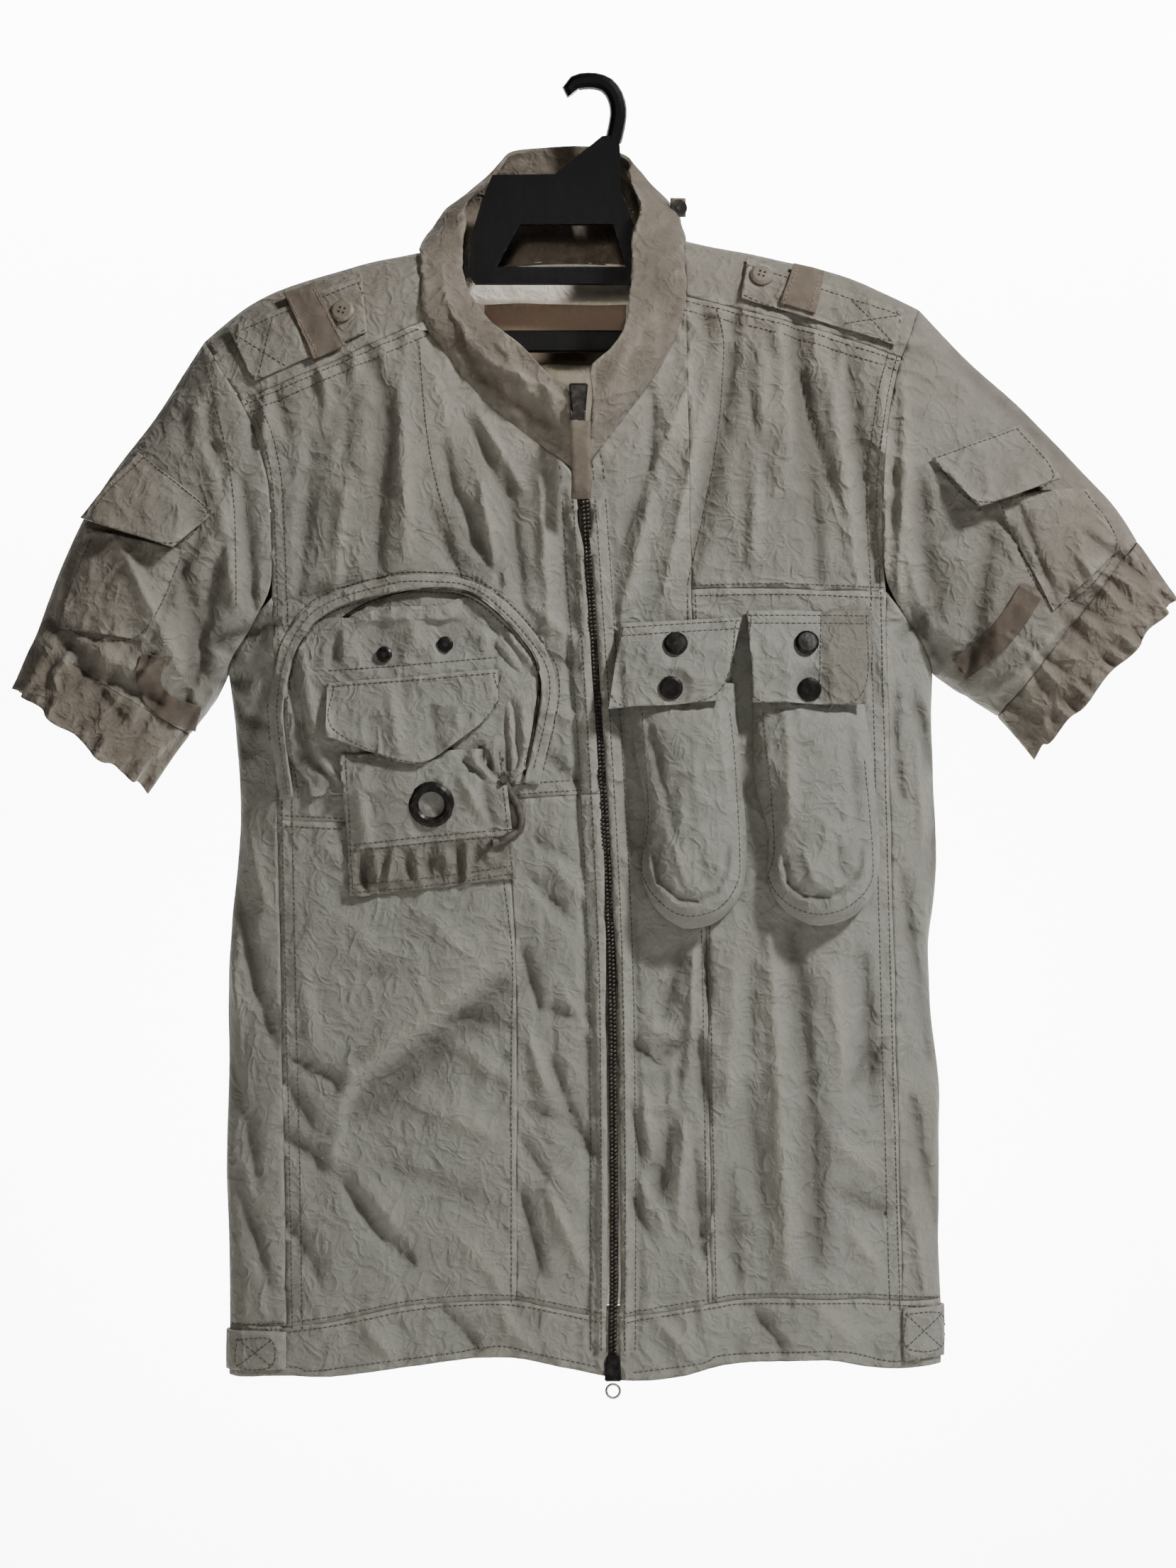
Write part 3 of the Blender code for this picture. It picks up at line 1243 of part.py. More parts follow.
def hem_tab(name, band, columns):
    """Tab sewn round the side of the hem band, made from the band's points."""
    low, middle, high = (line[columns[0]:columns[1] + 1] for line in band)
    rows = [[a.lerp(b, 0.25) for a, b in zip(low, middle)], middle,
            [a.lerp(b, 0.8) for a, b in zip(middle, high)]]
    outward = grid_normals(rows)
    grid = [[p + n * (0.5 + 1.8) for p, n in zip(line, normals)]
            for line, normals in zip(rows, outward)]
    make_wall(name, grid, outward, 1.8, CLOTH)


def main():
    """Build the whole shirt and its hanger."""
    for thing in list(bpy.data.objects):
        bpy.data.objects.remove(thing, do_unlink=True)
    sewn = Sewn()
    grids = body_cloth(sewn)
    left, right, back, side_left, side_right, yoke_left, yoke_right = grids
    sleeves = arms_cloth(sewn, grids)
    collar = collar_cloth(sewn, grids)
    sewn.build()
    chain = zip_chain(left, right, collar)
    hanger()
    cloth = [left, mirrored(right), side_left, side_right, yoke_left, yoke_right, chain, collar]
    for rings, cuff in sleeves.values():
        cloth += [rings, cuff]
    band_left = hem_grid(list(reversed(side_left[0])) + left[0][1:], hem_point)
    band_right = hem_grid(list(reversed(right[0])) + side_right[0][1:], hem_point)
    front = Front(cloth + [band_left, band_right])
    arch_pocket(front)
    pouches(front)
    epaulettes(front)
    sleeve_trim(front)
    zip_hardware(front)
    label(back)
    collar_tab(collar)
    hem_tab("hem_tab_left", band_left, (2, SIDE_COLUMNS))
    hem_tab("hem_tab_right", band_right, (RIGHT.columns, RIGHT.columns + 4))


main()
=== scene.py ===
"""Looks of the zip shirt on its hanger: finer cloth, sewing, zip teeth, metal and light.

Sizes are in mm where a table or docstring says so, and in metres in the meshes. X runs to the
right as the front is seen, Y to the back and Z up.
"""

import logging
import math
from collections.abc import Sequence
from dataclasses import dataclass, field
from enum import Enum

import bmesh
import bpy
import numpy as np
from mathutils import Matrix, Vector
from mathutils.bvhtree import BVHTree
from mathutils.kdtree import KDTree


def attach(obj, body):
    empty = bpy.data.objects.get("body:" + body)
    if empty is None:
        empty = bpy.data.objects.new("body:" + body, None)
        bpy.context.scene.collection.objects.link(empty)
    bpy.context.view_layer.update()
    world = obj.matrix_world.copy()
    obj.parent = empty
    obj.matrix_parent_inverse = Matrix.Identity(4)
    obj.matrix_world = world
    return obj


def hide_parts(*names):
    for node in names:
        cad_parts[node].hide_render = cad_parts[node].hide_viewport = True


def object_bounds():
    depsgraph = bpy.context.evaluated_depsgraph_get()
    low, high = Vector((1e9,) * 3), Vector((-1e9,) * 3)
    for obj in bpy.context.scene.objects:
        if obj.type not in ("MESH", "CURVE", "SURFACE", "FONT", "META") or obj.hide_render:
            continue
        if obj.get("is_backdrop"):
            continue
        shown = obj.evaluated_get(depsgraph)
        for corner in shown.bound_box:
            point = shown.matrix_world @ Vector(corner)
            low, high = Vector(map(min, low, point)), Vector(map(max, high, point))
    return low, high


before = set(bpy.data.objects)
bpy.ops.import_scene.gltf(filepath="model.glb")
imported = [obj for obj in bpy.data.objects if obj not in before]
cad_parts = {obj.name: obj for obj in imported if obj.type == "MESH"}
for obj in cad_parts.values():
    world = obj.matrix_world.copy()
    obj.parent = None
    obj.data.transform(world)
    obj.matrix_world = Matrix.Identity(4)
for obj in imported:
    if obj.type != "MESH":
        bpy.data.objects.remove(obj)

LOG = logging.getLogger("zip shirt")
MM = 0.001
Colour = tuple[float, float, float]
Place = tuple[float, float]
Line = Sequence[Place]


def tone(red: int, green: int, blue: int) -> Colour:
    """Linear colour of a shade given as it looks on a screen, 0 to 255."""
    parts = (level / 255 for level in (red, green, blue))
    return tuple(p / 12.92 if p <= 0.04045 else ((p + 0.055) / 1.055) ** 2.4 for p in parts)


def blend(low: float, high: float, value: np.ndarray) -> np.ndarray:
    """Fraction from 0 to 1 of the way from low to high, with soft ends."""
    part = np.clip((value - low) / (high - low), 0.0, 1.0)
    return part * part * (3 - 2 * part)


LATTICE = np.random.default_rng(11).uniform(-1.0, 1.0, (64, 64, 64))


def wander(points: np.ndarray, length: float, seed: float = 0.0) -> np.ndarray:
    """Smooth random heights from -1 to 1 at some points.

    Args:
        points: Places in mm, one a row.
        length: Distance in mm between the knots of the randomness.
        seed: Shifts the randomness.

    Returns:
        One height for each point.
    """
    spots = points / length + seed * 7.3
    knots = np.floor(spots).astype(int)
    part = spots - knots
    part = part * part * (3 - 2 * part)
    total = np.zeros(len(points))
    for corner in np.ndindex(2, 2, 2):
        weight = np.prod(np.where(corner, part, 1 - part), axis=1)
        i, j, k = ((knots + corner) % len(LATTICE)).T
        total += weight * LATTICE[i, j, k]
    return total


class View(Enum):
    """Side of the shirt from which a line of sewing is laid on the cloth."""

    FRONT = 1.0
    BACK = -1.0


class Held(Enum):
    """How a sheet of cloth is held on the shirt."""

    HUNG = "hung"
    GATHERED = "gathered"
    STRETCHED = "stretched"


class Part(Enum):
    """Area of the shirt, which decides the way its creases push the cloth."""

    BODY = "body"
    COLLAR = "collar"
    CUFF = "cuff"
    TRIM = "trim"


# Node trees


class Nodes:
    """Adds nodes to a shader or geometry tree in short lines."""

    def __init__(self, tree: bpy.types.NodeTree) -> None:
        """Keeps the tree."""
        self.tree = tree

    def add(self, kind: str, inputs: dict | None = None, **settings: object) -> bpy.types.Node:
        """Adds a node.

        Args:
            kind: The node's Blender type.
            inputs: Sockets or plain values for its inputs, by name or number.
            settings: Settings of the node by name.

        Returns:
            The new node.
        """
        made = self.tree.nodes.new(kind)
        for name, value in settings.items():
            setattr(made, name, value)
        self.feed(made, inputs or {})
        return made

    def feed(self, node: bpy.types.Node, inputs: dict) -> None:
        """Links sockets to a node's inputs, or sets them to plain values."""
        for key, value in inputs.items():
            if isinstance(value, bpy.types.NodeSocket):
                self.tree.links.new(value, node.inputs[key])
            else:
                node.inputs[key].default_value = value

    def maths(self, operation: str, *values: object) -> bpy.types.NodeSocket:
        """Adds a sum of sockets or numbers and returns its result."""
        return self.add("ShaderNodeMath", dict(enumerate(values)), operation=operation).outputs[0]

    def mix(self, factor: object, first: object, second: object) -> bpy.types.NodeSocket:
        """Adds a mix of two colours and returns its result."""
        return self.add("ShaderNodeMix", {"Factor": factor, "A": first, "B": second},
                        data_type="RGBA", clamp_factor=True).outputs["Result"]

    def ramp(self, value: object, low: float, high: float) -> bpy.types.NodeSocket:
        """Fraction of the way of a value between two limits, held between 0 and 1."""
        return self.add("ShaderNodeMapRange", {"Value": value, "From Min": low, "From Max": high},
                        clamp=True).outputs["Result"]

    def centred(self, value: object, share: float) -> bpy.types.NodeSocket:
        """A value from 0 to 1 moved to lie about 0, times a share."""
        return self.maths("MULTIPLY", self.maths("SUBTRACT", value, 0.5), share)

    def ridge(self, value: object) -> bpy.types.NodeSocket:
        """Turns a cloudy noise into sharp-topped folds, 0 to 1."""
        away = self.maths("ABSOLUTE", self.maths("SUBTRACT", value, 0.5))
        away = self.maths("MULTIPLY", away, 4.0)
        near = self.maths("SUBTRACT", 1.0, self.maths("MINIMUM", away, 1.0))
        return self.maths("POWER", near, 1.6)

    def mottle(self, scale: float, detail: float = 3.0, stretch: Colour = (1.0, 1.0, 1.0),
               twist: float = 0.0) -> bpy.types.NodeSocket:
        """Adds a cloudy noise over the object.

        Args:
            scale: Clouds per metre.
            detail: How many finer layers it has.
            stretch: How much finer it is along X, Y and Z.
            twist: How far the clouds are warped.

        Returns:
            The noise's socket, about 0 to 1.
        """
        mapping = self.add("ShaderNodeMapping", {"Vector": self.place(), "Scale": stretch})
        return self.add("ShaderNodeTexNoise", {
            "Scale": scale, "Detail": detail, "Distortion": twist,
            "Vector": mapping.outputs[0]}).outputs["Fac"]

    def place(self) -> bpy.types.NodeSocket:
        """Returns the object's own coordinates."""
        return self.add("ShaderNodeTexCoord").outputs["Object"]

    def attribute(self, name: str) -> bpy.types.NodeSocket:
        """Returns a value that the mesh carries."""
        return self.add("ShaderNodeAttribute", attribute_name=name).outputs["Fac"]


FLOAT, COLOUR, GEOMETRY, MATERIAL = (
    "NodeSocket" + kind for kind in ("Float", "Color", "Geometry", "Material"))


def group(name: str, kind: str, takes: dict[str, object],
          gives: dict[str, str]) -> tuple[Nodes, dict, bpy.types.Node]:
    """Starts a node group.

    Args:
        name: The group's name.
        kind: Its Blender type.
        takes: Its inputs by name, each a socket type or a number to start from.
        gives: The socket types of its outputs by name.

    Returns:
        A builder for its nodes, its input sockets by name and its output node.
    """
    tree = bpy.data.node_groups.new(name, kind)
    for label, value in takes.items():
        number = isinstance(value, float)
        socket = tree.interface.new_socket(label, in_out="INPUT",
                                           socket_type=FLOAT if number else value)
        if number:
            socket.default_value = value
    for label, sort in gives.items():
        tree.interface.new_socket(label, in_out="OUTPUT", socket_type=sort)
    nodes = Nodes(tree)
    start, end = nodes.add("NodeGroupInput"), nodes.add("NodeGroupOutput")
    return nodes, {label: start.outputs[label] for label in takes}, end


class ShaderKit:
    """The shader groups that several finishes share, each built once."""

    def __init__(self) -> None:
        """Builds the groups."""
        self.weave, self.wash, self.wear = self._weave(), self._wash(), self._wear()

    @staticmethod
    def _weave() -> bpy.types.NodeTree:
        """Group that gives the height of woven cloth with fine crumples, in mm."""
        nodes, given, end = group("Woven cloth", "ShaderNodeTree",
                                  {"Yarns": 900.0, "Crumple": 1.0}, {"Height": FLOAT})
        warp = nodes.mottle(700, 1.0, (1.0, 1.0, 0.12))
        weft = nodes.mottle(700, 1.0, (0.12, 0.12, 1.0))
        total = nodes.maths("MULTIPLY", nodes.maths("ADD", warp, weft),
                            nodes.maths("DIVIDE", 40.0, given["Yarns"]))
        for scale, height in ((34, 1.3), (78, 0.85), (150, 0.34)):
            fold = nodes.ridge(nodes.mottle(scale, 1.5, twist=0.9))
            high = nodes.maths("MULTIPLY", given["Crumple"], height)
            total = nodes.maths("ADD", total, nodes.maths("MULTIPLY", fold, high))
        nodes.feed(end, {"Height": total})
        return nodes.tree

    @staticmethod
    def _wash() -> bpy.types.NodeTree:
        """Group that gives washed cloth its colour: clouds, browner top, paler rubbed seams, and
        painted shade in the fold valleys with a painted highlight on the fold ridges.
        """
        nodes, given, end = group(
            "Washed colour with painted fold light", "ShaderNodeTree",
            {"Grey": COLOUR, "Brown": COLOUR, "Wear and ridge highlight": COLOUR, "Crease shade": COLOUR, "Seam wear": 0.5},
            {"Colour": COLOUR, "Roughness": FLOAT})
        maths = nodes.maths
        parts = nodes.add("ShaderNodeSeparateXYZ", {0: nodes.place()}).outputs
        cloud = nodes.mottle(11, 3.0)
        brown = maths("MAXIMUM", nodes.ramp(parts["Z"], -0.36, -0.12),
                      nodes.ramp(maths("ABSOLUTE", parts["X"]), 0.19, 0.3))
        brown = maths("ADD", maths("MULTIPLY", brown, 0.85), nodes.centred(cloud, 0.7))
        colour = nodes.mix(brown, given["Grey"], given["Brown"])
        paler = maths("MULTIPLY", nodes.attribute("seam"),
                     nodes.ramp(nodes.mottle(170, 3.0), 0.38, 0.66))
        colour = nodes.mix(maths("MULTIPLY", paler, given["Seam wear"]), colour, given["Wear and ridge highlight"])
        # Painted shade and highlight: the fold depth darkens the crease valleys and pales the crease
        # ridges, standing in for light on the folds.
        fold = nodes.attribute("fold")
        for turn, share, shade in ((-1.0, 0.5, given["Crease shade"]), (1.0, 0.45, given["Wear and ridge highlight"])):
            depth = maths("MAXIMUM", maths("MULTIPLY", fold, turn), 0.0)
            colour = nodes.mix(maths("MULTIPLY", depth, share), colour, shade)
        fibre = nodes.ramp(nodes.mottle(420, 2.0), 0.1, 0.9)
        level = maths("ADD", maths("MULTIPLY", fibre, 0.16), 0.92)
        grey = nodes.add("ShaderNodeCombineColor", dict.fromkeys(("Red", "Green", "Blue"), level))
        light = nodes.add("ShaderNodeMix", {"Factor": 1.0, "A": colour, "B": grey.outputs[0]},
                          data_type="RGBA", blend_type="MULTIPLY")
        nodes.feed(end, {"Colour": light.outputs["Result"],
                         "Roughness": maths("ADD", maths("MULTIPLY", cloud, 0.12), 0.8)})
        return nodes.tree

    @staticmethod
    def _wear() -> bpy.types.NodeTree:
        """Group that gives rubbed patches and fine scratches on metal and plastic."""
        nodes, given, end = group(
            "Handling wear", "ShaderNodeTree",
            {"Base": COLOUR, "Rubbed": COLOUR, "Amount": 0.3, "Roughness": 0.4},
            {"Colour": COLOUR, "Roughness": FLOAT, "Height": FLOAT})
        spots = nodes.mottle(260, 4.0)
        scratches = nodes.mottle(500, 2.0, (1.0, 1.0, 0.08))
        rubbed = nodes.maths("MULTIPLY", nodes.ramp(spots, 0.45, 0.7), given["Amount"])
        nodes.feed(end, {
            "Colour": nodes.mix(rubbed, given["Base"], given["Rubbed"]),
            "Roughness": nodes.maths("ADD", given["Roughness"], nodes.centred(scratches, 0.3)),
            "Height": nodes.maths("ADD", spots, scratches)})
        return nodes.tree


KIT = ShaderKit()


def material(name: str, looks: dict, bump: Place, plain: dict) -> bpy.types.Material:
    """Builds a material whose colour, roughness and height come from shared groups.

    Args:
        name: The material's name.
        looks: Each group, with its inputs by name.
        bump: How strong the bumps are and how high in metres.
        plain: Plain values of the Principled shader by name.

    Returns:
        The material.
    """
    made = bpy.data.materials.new(name)
    made.use_nodes = True
    nodes, face = Nodes(made.node_tree), made.node_tree.nodes["Principled BSDF"]
    found = {}
    for tree, inputs in looks.items():
        found.update(nodes.add("ShaderNodeGroup", inputs, node_tree=tree).outputs.items())
    relief = nodes.add("ShaderNodeBump", {"Strength": bump[0], "Distance": bump[1],
                                          "Height": found["Height"]})
    nodes.feed(face, {"Base Color": found["Colour"], "Roughness": found["Roughness"],
                      "Normal": relief.outputs["Normal"], **plain})
    return made


@dataclass(frozen=True)
class Fabric:
    """Finish of a woven cloth, in shades as on a screen: grey where it is low on the shirt."""

    name: str
    slot: str
    grey: Colour
    brown: Colour
    # Paler colour for rubbed seams, also used as the painted highlight on the fold ridges.
    paler: Colour
    yarns: float = 900.0
    crumple: float = 1.0
    bump: float = 0.8
    seam_wear: float = 0.5

    def build(self) -> bpy.types.Material:
        """Returns the cloth's material."""
        grey, brown, paler = (tone(*shade) for shade in (self.grey, self.brown, self.paler))
        # Painted shade colour for the fold valleys, the brown at 0.4 of its level.
        crease_shade = tuple(0.4 * level for level in brown)
        wash = {"Grey": (*grey, 1.0), "Brown": (*brown, 1.0), "Wear and ridge highlight": (*paler, 1.0),
                "Crease shade": (*crease_shade, 1.0), "Seam wear": self.seam_wear}
        weave = {"Yarns": self.yarns, "Crumple": self.crumple}
        return material(self.name, {KIT.wash: wash, KIT.weave: weave}, (self.bump, MM), {
            "Sheen Weight": 0.06, "Sheen Roughness": 0.5, "Specular IOR Level": 0.2})


@dataclass(frozen=True)
class Hard:
    """Finish of a metal or plastic piece, in shades as on a screen."""

    name: str
    slot: str
    base: Colour
    rubbed: Colour
    amount: float
    roughness: float
    metallic: float = 0.0
    bump: float = 0.1
    shine: float = 0.5

    def build(self) -> bpy.types.Material:
        """Returns the piece's material."""
        wear = {"Base": (*tone(*self.base), 1.0), "Rubbed": (*tone(*self.rubbed), 1.0),
                "Amount": self.amount, "Roughness": self.roughness}
        return material(self.name, {KIT.wear: wear}, (self.bump, 0.3 * MM), {
            "Metallic": self.metallic, "Specular IOR Level": self.shine})


COTTON = Fabric("Washed cotton", "cloth", (126, 125, 117), (113, 106, 96), (148, 143, 131))
# Inside of the cloth, much paler than the outside: partly painted light, made paler to brighten the
# inside of the back where it lies in shade.
LINER = Fabric("Inside of the cotton", "cloth", (228, 221, 206), (222, 213, 196),
               (232, 226, 212), crumple=0.5, seam_wear=0.3)
CUFF_COTTON = Fabric("Gathered cotton", "cloth", (112, 108, 98), (104, 95, 84),
                     (136, 129, 117), crumple=1.3)
# Collar cloth, darker than the body cloth: partly painted shade, darkened to match the shaded look of
# the collar.
COLLAR_COTTON = Fabric("Collar cotton", "cloth", (113, 108, 99), (97, 88, 77), (138, 131, 119))
GATHERED = Fabric("Doubled cotton", "cloth", (106, 103, 94), (100, 93, 83), (132, 126, 115),
                  crumple=1.3)
TWILL = Fabric("Brushed twill", "twill", (97, 88, 78), (94, 84, 73), (120, 110, 98),
               yarns=400.0, crumple=0.25)
STRAP_TWILL = Fabric("Dark twill", "twill", (84, 75, 66), (80, 71, 61), (104, 94, 83),
                     yarns=400.0, crumple=0.25)
LABEL = Fabric("Woven label", "label", (132, 115, 98), (132, 115, 98), (112, 96, 80),
               crumple=0.1, bump=0.4)
TAPE = Fabric("Zip tape", "chain", (74, 68, 61), (70, 63, 55), (84, 77, 69),
              crumple=0.1, bump=0.4)
THREAD = Fabric("Sewing thread", "cloth", (84, 81, 74), (74, 68, 60), (100, 92, 80),
                crumple=0.0, bump=0.1, seam_wear=0.0)
PALE_THREAD = Fabric("Twill thread", "twill", (132, 118, 101), (130, 114, 96),
                     (132, 118, 101), crumple=0.0, bump=0.1, seam_wear=0.0)
# Black discs painted as the shade inside the snap eyes, the button holes and round the collar snap's
# centre.
HOLE_SHADE = Hard("Painted hole shade", "plastic", (14, 12, 11), (20, 18, 16), 0.0, 0.8)
PLASTIC = Hard("Black plastic", "plastic", (5, 4, 5), (12, 11, 12), 0.4, 0.55, shine=0.14)
DARK_METAL = Hard("Blackened metal", "dark_metal", (30, 28, 27), (74, 68, 62), 0.45, 0.4, 0.7,
                  0.25)
TEETH_METAL = Hard("Oxidised teeth", "chain", (62, 58, 54), (106, 100, 92), 0.55, 0.4, 0.85)
BRIGHT_METAL = Hard("Bright metal", "steel", (196, 194, 188), (150, 146, 138), 0.35, 0.24, 1.0)
HORN = Hard("Horn-coloured plastic", "button", (106, 97, 85), (128, 118, 104), 0.5, 0.5,
            bump=0.2)
LEATHER = Hard("Leather cord", "twill", (66, 59, 51), (90, 81, 71), 0.6, 0.6, bump=0.5)

MADE: dict[str, bpy.types.Material] = {}


def made_of(finish: Fabric | Hard) -> bpy.types.Material:
    """Returns a finish's material, which is made on first use."""
    if finish.name not in MADE:
        MADE[finish.name] = finish.build()
    return MADE[finish.name]


def dress(thing: bpy.types.Object, finish: Fabric | Hard) -> None:
    """Adds a finish to a piece."""
    thing.data.materials.append(made_of(finish))


def place_piece(thing: bpy.types.Object, finish: Fabric | Hard, body: str = "shirt") -> None:
    """Gives a new piece its finish and the body it moves with."""
    thing.data.materials.clear()
    dress(thing, finish)
    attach(thing, body)


def add_object(name: str, data: bpy.types.ID) -> bpy.types.Object:
    """Puts a mesh, a light or a camera into the scene."""
    thing = bpy.data.objects.new(name, data)
    bpy.context.scene.collection.objects.link(thing)
    return thing


def smooth(data: bpy.types.Mesh, angle: float) -> None:
    """Shades a mesh smooth, with edges sharper than an angle in degrees drawn sharp."""
    data.shade_smooth()
    data.set_sharp_from_angle(angle=math.radians(angle))


def add_mesh(name: str, mesh: bmesh.types.BMesh, angle: float = 40.0) -> bpy.types.Object:
    """Turns a mesh under construction, which is freed, into an object in the scene."""
    data = bpy.data.meshes.new(name)
    mesh.to_mesh(data)
    mesh.free()
    smooth(data, angle)
    return add_object(name, data)


def evaluated(thing: bpy.types.Object) -> bpy.types.Object:
    """Returns an object as its modifiers make it."""
    return thing.evaluated_get(bpy.context.evaluated_depsgraph_get())


def settle(thing: bpy.types.Object) -> bpy.types.Mesh:
    """Makes an object's modified mesh its own and takes its modifiers away."""
    data = bpy.data.meshes.new_from_object(evaluated(thing))
    thing.modifiers.clear()
    thing.data = data
    return data


# Creases


@dataclass(frozen=True)
class Crease:
    """A fold pressed into the cloth, in mm as seen from the front; height is outwards."""

    x0: float
    z0: float
    x1: float
    z1: float
    width: float
    height: float

    def at(self, x: np.ndarray, z: np.ndarray) -> np.ndarray:
        """Heights of the fold at some places, all in mm."""
        run_x, run_z = self.x1 - self.x0, self.z1 - self.z0
        length = run_x ** 2 + run_z ** 2
        part = np.clip(((x - self.x0) * run_x + (z - self.z0) * run_z) / length, 0.0, 1.0)
        away = np.hypot(x - self.x0 - part * run_x, z - self.z0 - part * run_z)
        taper = 0.35 + 0.65 * np.sqrt(np.sin(math.pi * np.clip(part, 0.04, 0.96)))
        sharp = np.maximum(np.sqrt(away ** 2 + 0.8) - 0.9, 0.0) / (0.72 * self.width * taper)
        return self.height * taper * np.exp(-sharp ** 1.15)


def folds(table: str) -> tuple[Crease, ...]:
    """Creases from a table in mm, a fold each semicolon: x and z of its points, width, height."""
    found = []
    for row in table.split(";"):
        *line, width, height = (float(number) for number in row.split())
        found += [Crease(*line[n:n + 4], width, height) for n in range(0, len(line) - 2, 2)]
    return tuple(found)


def gathers(start: Place, end: Place, count: int, reach: Place, width: float,
            height: float) -> tuple[Crease, ...]:
    """Puckers that leave a drawn-up seam side by side. All sizes are in mm.

    Args:
        start: One end of the seam.
        end: Its other end.
        count: How many puckers it has.
        reach: How far and which way they run from it.
        width: Their width.
        height: Their height; every other one is a hollow.

    Returns:
        The puckers.
    """
    found = []
    for n in range(count):
        part = (n + 0.5 + 0.3 * LATTICE[n % 64, count % 64, 5]) / count
        x = start[0] + (end[0] - start[0]) * part
        z = start[1] + (end[1] - start[1]) * part
        far = 1.0 + 0.5 * LATTICE[n % 64, count % 64, 9]
        lean = 0.25 * LATTICE[n % 64, count % 64, 13]
        run = (reach[0] * far - reach[1] * lean, reach[1] * far + reach[0] * lean)
        sign = 1 if n % 2 else -1
        found.append(Crease(x, z, x + run[0], z + run[1], width, sign * height * far))
    return tuple(found)


